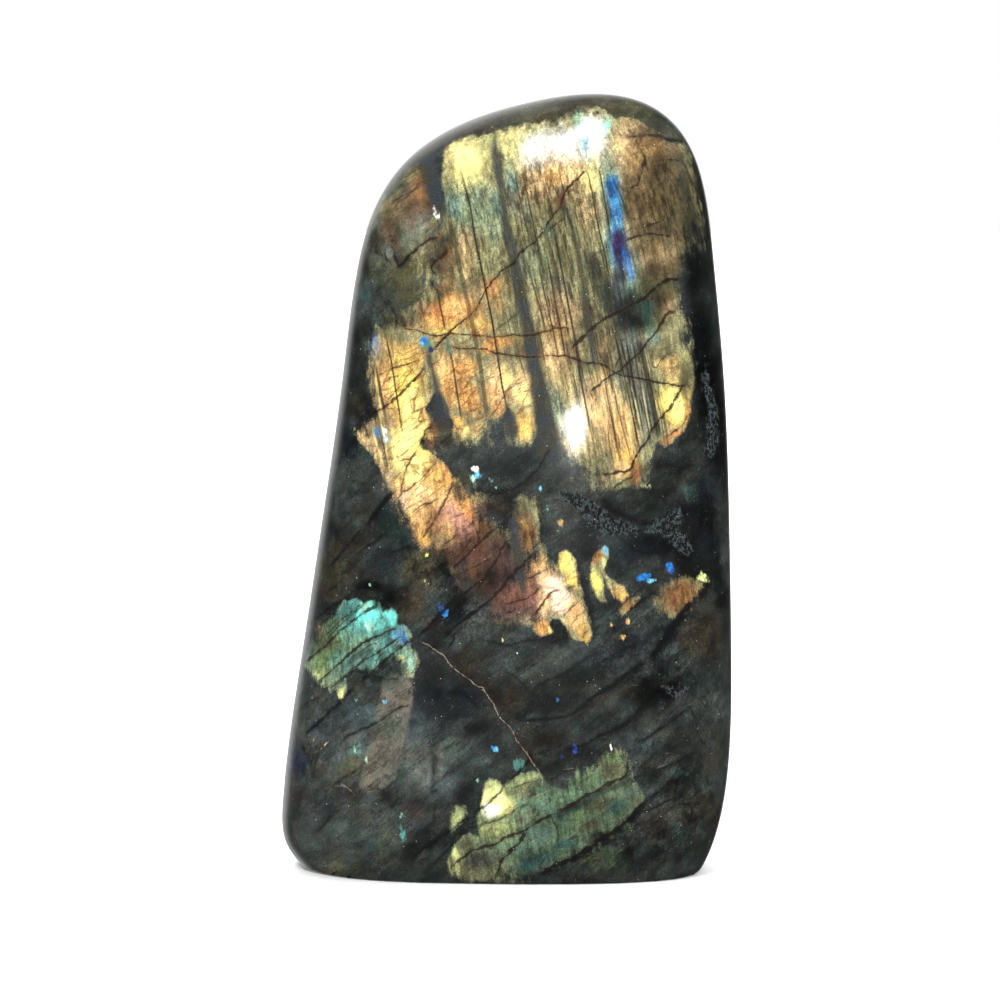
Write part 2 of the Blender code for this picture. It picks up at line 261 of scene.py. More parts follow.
# Dark cracks: half width, darkness, then the points.
CRACKS = (
    (1.1, 0.95, ((588, 167), (577, 178), (567, 187), (563, 196), (561, 206), (547, 222), (543, 232),
     (535, 243), (520, 252), (514, 264), (500, 272), (492, 282), (484, 295), (478, 308), (458, 325),
     (440, 342), (431, 351))),
    (0.7, 0.8, ((563, 196), (572, 188), (583, 196))),
    (0.8, 0.8, ((566, 217), (558, 222), (550, 228), (543, 238))),
    (0.8, 0.85, ((362, 333), (372, 328), (384, 323), (397, 322), (402, 328))),
    (0.9, 0.9, ((402, 328), (412, 329), (436, 336), (448, 334), (495, 337), (512, 335), (526, 336),
     (540, 333), (556, 328), (569, 328))),
    (0.7, 0.75, ((380, 296), (388, 304), (393, 312), (395, 320))),
    (1, 0.95, ((449, 347), (460, 349), (488, 350), (497, 353), (510, 355), (548, 357), (566, 357),
     (586, 362), (600, 363), (608, 367), (615, 372), (624, 376), (640, 379), (655, 383), (688, 386),
     (704, 390))),
    (0.8, 0.8, ((614, 371), (618, 361), (624, 353))), (0.7, 0.7, ((609, 367), (602, 359), (596, 351))),
    (1.8, 0.95, ((696, 273), (680, 278), (668, 280), (658, 286), (650, 292), (643, 299), (622, 311),
     (606, 318), (587, 332), (578, 342), (570, 351))),
    (1.4, 0.92, ((680, 311), (668, 312), (663, 322), (656, 332), (648, 340), (640, 352), (622, 369),
     (613, 373), (597, 386), (587, 394))),
    (0.7, 0.7, ((680, 348), (668, 354), (660, 362), (656, 368), (650, 364))),
    (1.6, 0.95, ((685, 384), (678, 392), (672, 406), (652, 430), (648, 440), (641, 448), (636, 456),
     (632, 466), (628, 471), (612, 474), (598, 475))),
    (1, 0.85, ((691, 411), (682, 424), (674, 431), (664, 437))),
    (0.9, 0.85, ((638, 470), (630, 478), (620, 484), (609, 492))),
    (1.6, 0.8, ((624, 138), (634, 137), (646, 135), (656, 135), (664, 139), (672, 141), (686, 144))),
    (1.3, 0.9, ((611, 159), (626, 160), (643, 160), (655, 161), (669, 160), (688, 161))),
    (1.1, 0.8, ((626, 190), (634, 185), (646, 182), (672, 178), (684, 180))),
    (1.3, 0.9, ((624, 241), (632, 238), (642, 235), (654, 234), (674, 237), (682, 241))),
    (1.2, 0.8, ((638, 228), (648, 226), (664, 220), (680, 217))),
    (0.6, 0.65, ((588, 260), (598, 252), (606, 248), (612, 246))),
    (1.4, 0.9, ((440, 236), (430, 239), (420, 246), (410, 255), (402, 264), (394, 270))),
    (1.3, 0.9, ((449, 248), (440, 258), (434, 262), (431, 270), (436, 276))),
    (0.7, 0.65, ((415, 207), (406, 222), (388, 246), (384, 254))), (0.5, 0.55, ((414, 206), (417, 222))),
    (1.5, 0.85, ((372, 251), (382, 256), (390, 262), (397, 268))),
    (0.8, 0.7, ((428, 276), (434, 288), (440, 296))),
    (0.9, 0.88, ((425, 358), (410, 363), (384, 373), (373, 378))),
    (1.5, 0.92, ((426, 366), (420, 374), (391, 402), (377, 412), (366, 424), (354, 440), (348, 452),
     (340, 460))),
    (0.8, 0.8, ((413, 366), (408, 376), (400, 386), (392, 394), (386, 402))),
    (0.8, 0.75, ((380, 384), (390, 378), (402, 376))),
    (1, 0.8, ((432, 424), (425, 431), (420, 444), (410, 460), (405, 474), (402, 490), (398, 502))),
    (0.7, 0.7, ((420, 452), (408, 460), (398, 474))),
    (1.2, 0.85, ((438, 459), (428, 471), (418, 482), (409, 489), (399, 493))),
    (0.7, 0.65, ((411, 468), (418, 474), (426, 478))),
    (1.3, 0.85, ((454, 480), (449, 490), (440, 510), (426, 532), (420, 542))),
    (0.9, 0.8, ((440, 498), (430, 503), (420, 506), (410, 513))),
    (0.7, 0.7, ((434, 506), (430, 518), (426, 526))),
    (0.7, 0.7, ((530, 378), (518, 384), (507, 390), (494, 410), (490, 419))),
    (0.7, 0.7, ((520, 311), (510, 318), (500, 325), (494, 331))),
    (0.7, 0.65, ((566, 303), (562, 316), (550, 332), (545, 340))),
    (0.8, 0.75, ((546, 324), (556, 327), (568, 328), (570, 336))),
    (0.6, 0.6, ((486, 398), (478, 406), (466, 402), (458, 396))),
    (0.8, 0.75, ((472, 512), (473, 522), (476, 530), (479, 540))),
    (1.4, 0.85, ((482, 512), (479, 524), (478, 534), (480, 544))),
    (1.5, 0.88, ((498, 526), (488, 534), (460, 562), (452, 570))),
    (0.9, 0.8, ((474, 534), (466, 546), (458, 556), (450, 566))),
    (1.6, 0.88, ((510, 538), (502, 548), (496, 560), (480, 584), (474, 594))),
    (0.7, 0.7, ((494, 556), (484, 562), (470, 568), (462, 574))),
    (0.7, 0.65, ((440, 548), (448, 542), (456, 536), (466, 534))),
    (2, 0.94, ((536, 550), (528, 558), (502, 588), (492, 598), (480, 608), (450, 630), (443, 640))),
    (2, 0.94, ((490, 576), (480, 580), (450, 604), (440, 614), (430, 626), (420, 638))),
    (0.9, 0.85, ((551, 566), (542, 572), (532, 577), (524, 580))),
    (1.3, 0.88, ((542, 584), (534, 594), (525, 600), (515, 603), (502, 605))),
    (1.3, 0.85, ((561, 590), (553, 592), (546, 599), (539, 608), (533, 618))),
    (0.8, 0.8, ((518, 606), (511, 612), (504, 615))),
    (0.9, 0.8, ((583, 599), (575, 605), (568, 611), (560, 618))),
    (0.7, 0.7, ((594, 624), (586, 632), (580, 640))), (0.8, 0.7, ((580, 584), (570, 588), (562, 592))),
    (3, 0.88, ((396, 491), (386, 499), (371, 519), (364, 527))),
    (1.4, 0.85, ((364, 527), (356, 535), (338, 556), (326, 570))),
    (0.9, 0.75, ((386, 552), (398, 550), (408, 548), (420, 548))),
    (0.9, 0.75, ((316, 597), (328, 591), (337, 586), (345, 578))),
    (1, 0.85, ((311, 625), (322, 615), (334, 606), (346, 597))),
    (1.4, 0.92, ((303, 665), (314, 655), (333, 639), (341, 631), (360, 616), (369, 610), (378, 605))),
    (0.8, 0.8, ((326, 640), (338, 628), (350, 616), (362, 606))),
    (1.5, 0.95, ((314, 686), (324, 677), (333, 668), (345, 660), (353, 651), (361, 644), (381, 635),
     (390, 630), (398, 626))),
    (1.1, 0.9, ((328, 692), (336, 684), (356, 667), (363, 660), (373, 656), (397, 640), (405, 636))),
    (1.3, 0.92, ((358, 684), (368, 674), (390, 656), (424, 632), (436, 624))),
    (0.7, 0.75, ((318, 659), (326, 664), (333, 668))), (0.7, 0.75, ((374, 668), (378, 658), (386, 650))),
    (1, 0.75, ((366, 675), (378, 678), (388, 680), (402, 680))),
    (0.8, 0.85, ((318, 642), (330, 631), (354, 610), (364, 601))),
    (0.8, 0.8, ((350, 660), (360, 651), (370, 646), (382, 641))),
    (1.8, 0.88, ((302, 738), (312, 728), (338, 705), (348, 694), (357, 686))),
    (0.8, 0.7, ((298, 712), (306, 703), (316, 697))),
    (1.3, 0.8, ((338, 742), (350, 735), (374, 724), (398, 708), (414, 703))),
    (1, 0.7, ((299, 742), (306, 752), (312, 764), (318, 772))),
    (1.2, 0.75, ((323, 740), (318, 754), (314, 768), (314, 784))),
    (1, 0.65, ((346, 802), (336, 810), (328, 822), (320, 830), (312, 838))),
    (0.8, 0.6, ((366, 784), (374, 788), (382, 790), (390, 786), (400, 776))),
    (1, 0.6, ((434, 752), (434, 768), (433, 780))), (1, 0.6, ((434, 800), (434, 816), (434, 828))),
    (1.6, 0.9, ((402, 876), (410, 862), (418, 852), (430, 845), (450, 831), (462, 821), (473, 815))),
    (1.3, 0.9, ((473, 815), (482, 808), (498, 793), (505, 785))),
    (2, 0.9, ((505, 785), (515, 776), (524, 768), (530, 760), (531, 752))),
    (1.7, 0.92, ((430, 874), (441, 872), (452, 866), (472, 850), (484, 846), (496, 844), (532, 826),
     (540, 820), (548, 817), (556, 813))),
    (2.2, 0.92, ((556, 813), (566, 808), (588, 794), (622, 778), (627, 772), (627, 758))),
    (1, 0.75, ((481, 826), (492, 822), (518, 808), (530, 802))),
    (2, 0.92, ((492, 880), (499, 870), (501, 860), (518, 846), (523, 836), (526, 829))),
    (1, 0.8, ((434, 862), (444, 854), (452, 845), (456, 832))),
    (2.8, 0.94, ((528, 878), (542, 872), (574, 857), (619, 828), (630, 819), (641, 808))),
    (1.1, 0.85, ((648, 801), (660, 791), (672, 782), (684, 776), (695, 768), (704, 762))),
    (0.9, 0.8, ((552, 817), (556, 826), (558, 836), (556, 843))),
    (0.8, 0.75, ((546, 783), (556, 777), (566, 771), (577, 769))),
    (0.8, 0.75, ((508, 793), (520, 786), (530, 782), (542, 780))),
    (0.8, 0.7, ((624, 830), (629, 846), (632, 860), (636, 874))),
    (0.7, 0.6, ((560, 880), (580, 873), (600, 866), (620, 860))),
    (0.8, 0.6, ((500, 846), (498, 856), (500, 866))),
    (2.4, 0.9, ((584, 706), (596, 696), (620, 680), (634, 669), (648, 660))),
    (3.2, 0.92, ((648, 660), (658, 650), (665, 637), (675, 622), (702, 592), (709, 585))),
    (1.8, 0.85, ((560, 752), (574, 748), (588, 744), (600, 736), (612, 732), (622, 726), (641, 708),
     (653, 702), (664, 690))),
    (1.2, 0.75, ((648, 776), (660, 769), (684, 757), (705, 742), (718, 738))),
    (1.3, 0.75, ((640, 813), (656, 806), (672, 798), (690, 792), (704, 786), (716, 780))),
    (1.2, 0.7, ((664, 830), (680, 822), (700, 810))), (1.4, 0.7, ((690, 716), (702, 708), (714, 702))),
    (0.9, 0.85, ((484, 641), (499, 644), (510, 645), (530, 640), (542, 639), (553, 634))),
    (1.6, 0.75, ((516, 722), (540, 720), (560, 718), (572, 715), (583, 708), (594, 699))),
    (1.4, 0.7, ((532, 756), (546, 752), (556, 748), (566, 742))),
    (0.7, 0.55, ((556, 650), (562, 646), (568, 642))),
    (1, 0.85, ((448, 640), (456, 632), (452, 644), (442, 652))),
    (1.3, 0.8, ((552, 446), (546, 458), (538, 470), (526, 480), (512, 490), (498, 494), (484, 492),
     (470, 488))),
    (0.9, 0.7, ((700, 462), (690, 465), (680, 468), (664, 466), (652, 470))),
    (1, 0.7, ((618, 535), (636, 552), (656, 552), (676, 560))),
    (0.9, 0.8, ((658, 590), (648, 596), (630, 610), (621, 619))),
    (0.9, 0.8, ((646, 586), (636, 593), (618, 609), (608, 616))),
    (0.7, 0.65, ((682, 583), (676, 588), (668, 594))),
    (0.8, 0.6, ((604, 498), (610, 505), (618, 512), (630, 516))),
    (0.9, 0.6, ((720, 654), (708, 662), (694, 672), (684, 678))),
    (0.9, 0.7, ((700, 634), (690, 646), (680, 654), (672, 662))),
    (1.2, 0.8, ((712, 690), (700, 700), (668, 724), (650, 736), (632, 744))),
    (1, 0.75, ((600, 650), (584, 660), (566, 672), (548, 680), (530, 690))),
    (0.9, 0.7, ((500, 668), (514, 676), (528, 690), (540, 700))),
    (1, 0.75, ((440, 700), (456, 690), (470, 700), (484, 712))),
    (1.1, 0.75, ((352, 560), (364, 548), (378, 540), (392, 530))),
    (1, 0.7, ((330, 790), (346, 776), (360, 766))),
    (0.9, 0.65, ((400, 850), (384, 840), (366, 842), (350, 852))),
    (1.1, 0.75, ((676, 500), (690, 510), (704, 506), (714, 498))),
    (1, 0.75, ((640, 640), (624, 650), (608, 658), (590, 668))),
    (1.2, 0.8, ((700, 800), (684, 812), (650, 842), (636, 858))),
)

# Washes of colour over the flash, each laid on those before it: colour, x, y, reach across the twin
# planes, reach along them, strength.
FLASH_WASHES = (
    ("tan", 395, 430, 46, 70, 0.9), ("bronze", 436, 516, 56, 56, 0.9), ("mauve", 500, 590, 70, 50, 1),
    ("umber", 480, 600, 24, 30, 0.8), ("sage", 466, 205, 24, 34, 0.9), ("verdigris", 455, 204, 9, 18, 0.9),
    ("sage", 484, 214, 14, 34, 0.8), ("verdigris", 497, 206, 6, 22, 0.8), ("olive", 442, 232, 16, 20, 0.8),
    ("tan", 466, 252, 11, 30, 0.9), ("straw", 466, 262, 7, 18, 0.7), ("khaki", 490, 252, 12, 34, 0.8),
    ("sage", 492, 228, 8, 20, 0.6), ("camel", 446, 262, 12, 18, 0.9), ("olive", 446, 272, 8, 14, 0.7),
    ("bronze", 448, 290, 12, 14, 0.6), ("tan", 545, 186, 34, 26, 0.9), ("peach", 566, 170, 20, 14, 0.8),
    ("honey", 552, 178, 12, 10, 0.5), ("verdigris", 514, 178, 7, 20, 0.9), ("pewter", 512, 202, 8, 20, 0.7),
    ("khaki", 536, 222, 24, 26, 0.8), ("olive", 552, 208, 14, 20, 0.6), ("dusk", 562, 198, 6, 12, 0.6),
    ("pewter", 526, 212, 10, 18, 0.5), ("teal", 549, 232, 8, 14, 0.4), ("sage", 536, 264, 22, 20, 0.5),
    ("khaki", 560, 262, 20, 26, 0.7), ("ash", 556, 284, 18, 9, 0.6), ("tan", 590, 214, 16, 34, 0.7),
    ("khaki", 594, 236, 12, 18, 0.8), ("straw", 588, 184, 14, 16, 0.8), ("coal", 592, 268, 11, 22, 0.9),
    ("ink_green", 606, 294, 12, 22, 0.9), ("tan", 650, 200, 44, 70, 0.8), ("camel", 656, 196, 34, 34, 0.9),
    ("olive", 664, 198, 18, 22, 0.6), ("camel", 640, 214, 14, 20, 0.5), ("olive", 684, 204, 9, 40, 0.8),
    ("dusk", 690, 214, 7, 36, 0.7), ("peach", 632, 148, 30, 12, 0.9), ("honey", 650, 150, 24, 10, 0.6),
    ("tan", 628, 126, 22, 14, 0.8), ("olive", 650, 128, 18, 8, 0.6), ("umber", 654, 139, 24, 5, 0.7),
    ("camel", 672, 152, 14, 8, 0.8), ("tan", 622, 172, 12, 14, 0.8), ("camel", 654, 172, 26, 12, 0.6),
    ("tan", 654, 256, 22, 18, 0.9), ("camel", 664, 270, 16, 12, 0.8), ("pewter", 634, 262, 8, 20, 0.7),
    # The snow washes along the crest, x 536 to 592 and y 134 to 142, are painted highlight: the overhead
    # light's reflection where the face rolls over into the top. The cream washes beside them, at x 468 and
    # 524, are partly flash and partly that painted highlight.
    ("olive", 668, 226, 14, 8, 0.7), ("cream", 468, 158, 26, 20, 1), ("butter", 470, 172, 20, 12, 0.9),
    ("apricot", 482, 176, 8, 10, 0.7), ("camel", 447, 152, 3, 12, 0.7), ("lime", 490, 140, 6, 8, 0.6),
    ("cream", 524, 144, 28, 16, 1), ("snow", 536, 142, 26, 13, 1), ("snow", 562, 138, 22, 13, 1),
    ("snow", 592, 134, 16, 18, 1), ("blush", 598, 152, 12, 14, 0.8), ("cream", 592, 176, 10, 18, 0.8),
    ("camel", 432, 236, 8, 20, 0.7), ("ochre", 500, 296, 16, 22, 0.8), ("copper", 492, 288, 10, 10, 0.5),
    ("khaki", 510, 306, 10, 24, 0.8), ("tan", 476, 296, 12, 20, 0.7), ("amber", 452, 312, 30, 20, 0.9),
    ("apricot", 456, 308, 12, 14, 0.8), ("copper", 436, 308, 9, 12, 0.6), ("russet", 420, 312, 10, 14, 0.7),
    ("honey", 428, 322, 10, 10, 0.6), ("camel", 412, 326, 12, 8, 0.7), ("olive", 388, 332, 12, 12, 0.8),
    ("gold", 446, 332, 14, 8, 0.6), ("honey", 480, 326, 16, 10, 0.7), ("amber", 500, 344, 20, 10, 0.8),
    ("ochre", 390, 350, 18, 16, 0.8), ("honey", 410, 356, 16, 16, 0.8), ("apricot", 388, 380, 14, 26, 0.9),
    ("gold", 406, 390, 20, 38, 1), ("butter", 412, 404, 14, 22, 0.8), ("honey", 398, 424, 6, 20, 0.6),
    ("honey", 424, 420, 5, 14, 0.7), ("apricot", 448, 366, 16, 16, 0.9), ("amber", 450, 390, 12, 18, 0.7),
    ("amber", 468, 394, 12, 22, 0.8), ("amber", 464, 368, 16, 12, 0.8), ("honey", 456, 424, 10, 10, 0.9),
    ("butter", 464, 432, 7, 8, 0.8), ("ochre", 476, 430, 8, 10, 0.8), ("peach", 500, 384, 14, 26, 0.95),
    ("butter", 505, 378, 7, 16, 0.8), ("apricot", 490, 400, 8, 16, 0.8), ("copper", 498, 410, 7, 8, 0.6),
    ("peach", 522, 388, 10, 22, 0.95), ("butter", 524, 396, 6, 12, 0.9), ("honey", 524, 426, 12, 18, 0.9),
    ("gold", 526, 434, 6, 8, 0.6), ("ochre", 526, 356, 6, 16, 0.6), ("tan", 560, 316, 26, 30, 0.9),
    ("ochre", 556, 336, 18, 16, 0.7), ("peach", 556, 362, 16, 24, 0.7), ("straw", 562, 388, 16, 24, 0.9),
    ("sage", 556, 410, 10, 26, 0.7), ("straw", 582, 440, 24, 28, 0.8), ("khaki", 588, 462, 12, 12, 0.6),
    ("camel", 576, 354, 10, 14, 0.7), ("camel", 604, 350, 12, 22, 0.8), ("ochre", 604, 372, 10, 14, 0.7),
    ("peach", 600, 404, 22, 34, 0.9), ("apricot", 620, 430, 20, 30, 0.95), ("honey", 626, 462, 14, 18, 0.9),
    ("peach", 622, 472, 9, 10, 0.7), ("copper", 636, 474, 6, 12, 0.7), ("camel", 606, 478, 14, 10, 0.6),
    ("ink_green", 628, 308, 24, 12, 0.95), ("slate", 618, 294, 7, 16, 0.8), ("pitch", 630, 292, 7, 12, 0.9),
    ("ink_green", 630, 326, 20, 14, 0.95), ("teal", 646, 312, 9, 20, 0.8), ("ash", 630, 346, 18, 16, 0.9),
    ("smoke", 628, 378, 14, 26, 0.8), ("flint", 642, 404, 14, 44, 0.8), ("smoke", 652, 410, 5, 34, 0.7),
    ("camel", 668, 306, 10, 18, 0.9), ("olive", 672, 322, 9, 8, 0.6), ("verdigris", 652, 336, 9, 12, 0.7),
    ("khaki", 664, 354, 18, 14, 0.9), ("ochre", 670, 366, 18, 16, 0.8), ("lime", 684, 358, 4, 12, 0.6),
    ("gold", 674, 406, 18, 26, 1), ("butter", 676, 402, 12, 20, 0.9), ("amber", 687, 414, 5, 14, 0.9),
    ("copper", 676, 434, 12, 6, 0.8), ("bronze", 666, 442, 8, 7, 0.8), ("gold", 412, 446, 26, 30, 1),
    ("cream", 412, 434, 14, 16, 0.9), ("butter", 398, 452, 13, 26, 0.9), ("butter", 410, 474, 16, 16, 0.9),
    ("butter", 416, 462, 14, 12, 0.9), ("honey", 434, 480, 14, 16, 0.8), ("peach", 402, 452, 10, 12, 0.4),
    ("honey", 398, 484, 8, 10, 0.6), ("amber", 446, 474, 8, 14, 0.8), ("tan", 378, 464, 6, 24, 0.9),
    ("camel", 362, 438, 9, 8, 0.8), ("peach", 366, 440, 5, 6, 0.7), ("peach", 412, 496, 22, 16, 0.9),
    ("apricot", 416, 514, 14, 16, 0.8), ("blush", 404, 500, 6, 12, 0.5), ("honey", 424, 536, 7, 12, 0.8),
    ("apricot", 440, 500, 14, 16, 0.9), ("amber", 462, 504, 14, 14, 0.9), ("copper", 470, 516, 12, 16, 0.7),
    ("rose", 452, 522, 16, 14, 0.75), ("bark", 436, 560, 24, 18, 0.8), ("tan", 442, 542, 14, 14, 0.9),
    ("russet", 430, 530, 8, 10, 0.6), ("umber", 488, 510, 9, 18, 0.6), ("sienna", 488, 518, 13, 16, 0.8),
    ("russet", 446, 552, 16, 9, 0.6), ("rose", 448, 508, 13, 13, 0.5), ("rosewood", 472, 540, 20, 16, 0.7),
    ("apricot", 446, 530, 8, 14, 0.6), ("rose", 470, 530, 14, 12, 0.6), ("rose", 462, 534, 10, 10, 0.5),
    ("russet", 484, 524, 8, 12, 0.7), ("bronze", 481, 532, 9, 10, 0.6), ("sienna", 500, 545, 9, 12, 0.6),
    ("mauve", 462, 556, 16, 12, 0.9), ("rosewood", 480, 554, 14, 18, 0.9),
    ("russet", 474, 572, 10, 10, 0.8), ("mauve", 500, 552, 14, 20, 0.9), ("umber", 490, 580, 12, 16, 0.8),
    ("mauve", 502, 572, 12, 16, 0.8), ("umber", 480, 596, 12, 12, 0.9), ("mauve", 496, 600, 10, 14, 0.7),
    ("rosewood", 514, 596, 16, 16, 1), ("mauve", 512, 614, 16, 10, 0.6), ("rose", 534, 604, 10, 14, 0.5),
    ("russet", 532, 588, 9, 9, 0.7), ("bronze", 530, 570, 10, 8, 0.9), ("apricot", 542, 566, 9, 10, 0.9),
    ("peach", 548, 578, 10, 12, 1), ("blush", 554, 588, 13, 14, 1), ("blush", 562, 604, 12, 12, 0.9),
    ("blush", 562, 594, 6, 8, 0.8), ("peach", 542, 602, 8, 14, 0.8), ("gold", 566, 562, 9, 13, 1),
    ("gold", 572, 580, 7, 12, 0.9), ("apricot", 576, 616, 11, 18, 0.95), ("honey", 586, 634, 6, 12, 0.9),
    ("amber", 542, 628, 9, 9, 0.95), ("lemon", 549, 629, 3, 4, 0.7), ("lemon", 598, 582, 7, 15, 1),
    ("bronze", 598, 557, 7, 8, 1), ("sky", 606, 550, 3, 6, 0.9), ("lime", 604, 562, 3, 6, 0.8),
    ("ochre", 618, 592, 12, 12, 0.9), ("honey", 622, 596, 6, 8, 0.6), ("bronze", 628, 606, 12, 8, 0.8),
    ("bronze", 682, 596, 24, 20, 1), ("sienna", 676, 608, 12, 8, 0.6), ("bronze", 526, 532, 14, 24, 1),
    ("ochre", 524, 520, 6, 8, 0.7), ("bronze", 528, 544, 6, 12, 0.6), ("sea", 360, 640, 70, 50, 1),
    ("aqua", 364, 612, 24, 16, 1), ("mint", 367, 606, 7, 8, 0.7), ("sea", 352, 602, 10, 7, 0.7),
    ("jade", 346, 646, 30, 12, 0.9), ("leaf", 332, 640, 14, 14, 0.8), ("olive", 320, 646, 12, 14, 0.8),
    ("leaf", 322, 664, 14, 14, 0.9), ("pear", 322, 674, 8, 8, 0.7), ("fern", 336, 622, 10, 10, 0.7),
    ("aqua", 376, 626, 12, 12, 0.95), ("mint", 372, 628, 8, 8, 0.9), ("aqua", 392, 618, 7, 12, 1),
    ("azure", 405, 634, 8, 10, 0.5), ("sky", 396, 634, 6, 8, 0.6), ("cobalt", 408, 640, 4, 4, 0.5),
    ("mint", 374, 648, 9, 7, 0.7), ("sea", 388, 652, 12, 8, 0.7), ("verdigris", 352, 664, 14, 8, 0.9),
    ("teal", 346, 668, 14, 5, 0.6), ("mint", 410, 664, 6, 13, 0.7), ("teal", 345, 613, 13, 15, 0.9),
    ("fern", 330, 622, 12, 10, 0.7), ("sea", 384, 622, 8, 8, 0.5), ("jade", 330, 680, 12, 8, 0.6),
    ("lime", 400, 660, 5, 6, 0.7), ("lime", 338, 688, 9, 12, 1), ("snow", 338, 686, 4, 6, 0.8),
    ("jade", 552, 816, 110, 70, 1), ("lime", 494, 800, 20, 24, 1), ("cream", 500, 806, 14, 10, 0.9),
    ("snow", 490, 811, 9, 8, 0.9), ("lime", 500, 830, 14, 7, 0.8), ("leaf", 508, 796, 8, 9, 0.5),
    ("pear", 506, 798, 7, 6, 0.7), ("olive", 512, 792, 10, 8, 0.5), ("pear", 524, 781, 16, 7, 0.9),
    ("khaki", 524, 792, 12, 7, 0.7), ("pear", 500, 832, 24, 10, 0.9), ("lime", 488, 826, 12, 6, 0.7),
    ("sage", 526, 818, 20, 9, 0.8), ("verdigris", 546, 806, 10, 8, 0.6), ("fern", 588, 780, 16, 8, 0.6),
    ("olive", 612, 772, 14, 10, 0.8), ("leaf", 616, 758, 10, 8, 0.9), ("teal", 566, 814, 14, 6, 0.8),
    ("olive", 600, 806, 18, 9, 0.8), ("leaf", 578, 820, 14, 8, 0.6), ("olive", 590, 828, 18, 8, 0.8),
    ("umber", 596, 838, 18, 5, 0.9), ("teal", 618, 808, 14, 8, 0.9), ("verdigris", 630, 794, 10, 8, 0.7),
    ("verdigris", 540, 834, 18, 9, 0.8), ("leaf", 552, 840, 8, 8, 0.4), ("teal", 562, 846, 16, 8, 0.9),
    ("teal", 534, 862, 26, 9, 0.95), ("verdigris", 526, 850, 14, 6, 0.7), ("flint", 480, 860, 20, 12, 0.95),
    ("sage", 506, 862, 8, 10, 0.6), ("fern", 510, 870, 14, 5, 0.5), ("lime", 455, 856, 6, 14, 1),
    ("olive", 468, 842, 8, 7, 0.7), ("olive", 462, 866, 10, 5, 0.6), ("pear", 458, 816, 8, 12, 0.8),
)

# Shadows over the flash: x, y, reach across and along, depth, which is below 0 where it gets lighter.
FLASH_SHADES = (
    (540, 230, 60, 60, 0.35), (590, 285, 30, 45, 0.25), (560, 300, 60, 60, 0.25), (648, 122, 34, 13, 0.45),
    (688, 168, 12, 30, 0.35), (655, 200, 42, 60, 0.62), (650, 250, 34, 30, 0.35), (690, 200, 10, 60, 0.5),
    (468, 205, 24, 34, 0.25), (470, 262, 20, 40, 0.22), (446, 262, 12, 40, 0.35), (436, 250, 12, 30, 0.45),
    (400, 318, 26, 12, 0.4), (640, 310, 34, 26, 0.62), (660, 348, 16, 12, 0.35), (575, 385, 20, 40, 0.08),
    (590, 345, 34, 34, 0.22), (612, 350, 12, 30, 0.12), (586, 466, 26, 16, 0.35), (500, 300, 30, 30, 0.15),
    (484, 562, 40, 50, 0.64), (455, 545, 26, 20, 0.15), (522, 606, 24, 16, 0.46), (548, 826, 90, 34, 0.42),
    (610, 800, 40, 36, 0.36), (530, 862, 60, 16, 0.35), (480, 862, 30, 14, 0.3), (340, 650, 60, 34, 0.1),
    (526, 526, 16, 34, 0.35), (634, 806, 14, 30, 0.3), (494, 806, 20, 22, -0.3), (560, 858, 60, 12, 0.2),
    (470, 860, 24, 12, 0.25), (434, 562, 24, 16, 0.45), (412, 458, 30, 40, -0.12), (680, 598, 26, 22, 0.35),
    (322, 650, 20, 24, 0.35), (344, 610, 16, 12, 0.35), (560, 250, 80, 90, -0.12), (648, 142, 30, 18, 0.66),
    (664, 162, 18, 16, 0.72), (660, 284, 28, 26, 0.72), (688, 244, 13, 40, 0.72), (690, 386, 12, 40, 0.66),
    (652, 385, 14, 36, -0.22), (562, 600, 18, 26, -0.18), (556, 626, 16, 12, -0.2),
    (522, 508, 12, 13, 0.55), (430, 484, 24, 26, -0.14), (442, 406, 24, 20, -0.14),
    (534, 356, 11, 32, 0.52), (588, 320, 14, 38, 0.45), (436, 294, 18, 13, 0.32), (508, 280, 11, 26, 0.28),
    (638, 472, 10, 16, 0.5), (612, 762, 15, 13, 0.45), (550, 784, 30, 14, 0.5), (520, 838, 24, 12, -0.24),
)

# Where the edge of the flash fades slowly: x, y, reach across and along, width of the fade.
SLOW_EDGES = (
    (434, 258, 30, 56, 16), (410, 318, 40, 12, 10), (450, 438, 24, 18, 7), (500, 436, 40, 18, 6),
    (560, 430, 16, 50, 9), (590, 482, 40, 16, 9), (640, 470, 20, 24, 5), (694, 230, 14, 90, 9),
    (680, 150, 24, 26, 7), (688, 330, 12, 60, 6), (372, 380, 10, 60, 4), (400, 510, 30, 40, 5),
    (470, 500, 30, 26, 9), (500, 580, 60, 60, 9), (440, 560, 30, 20, 8), (590, 600, 16, 40, 2),
    (610, 840, 60, 20, 7), (520, 874, 90, 14, 6), (600, 770, 50, 30, 4), (320, 650, 24, 40, 5),
    (390, 665, 40, 14, 3), (530, 112, 120, 14, 3),
)

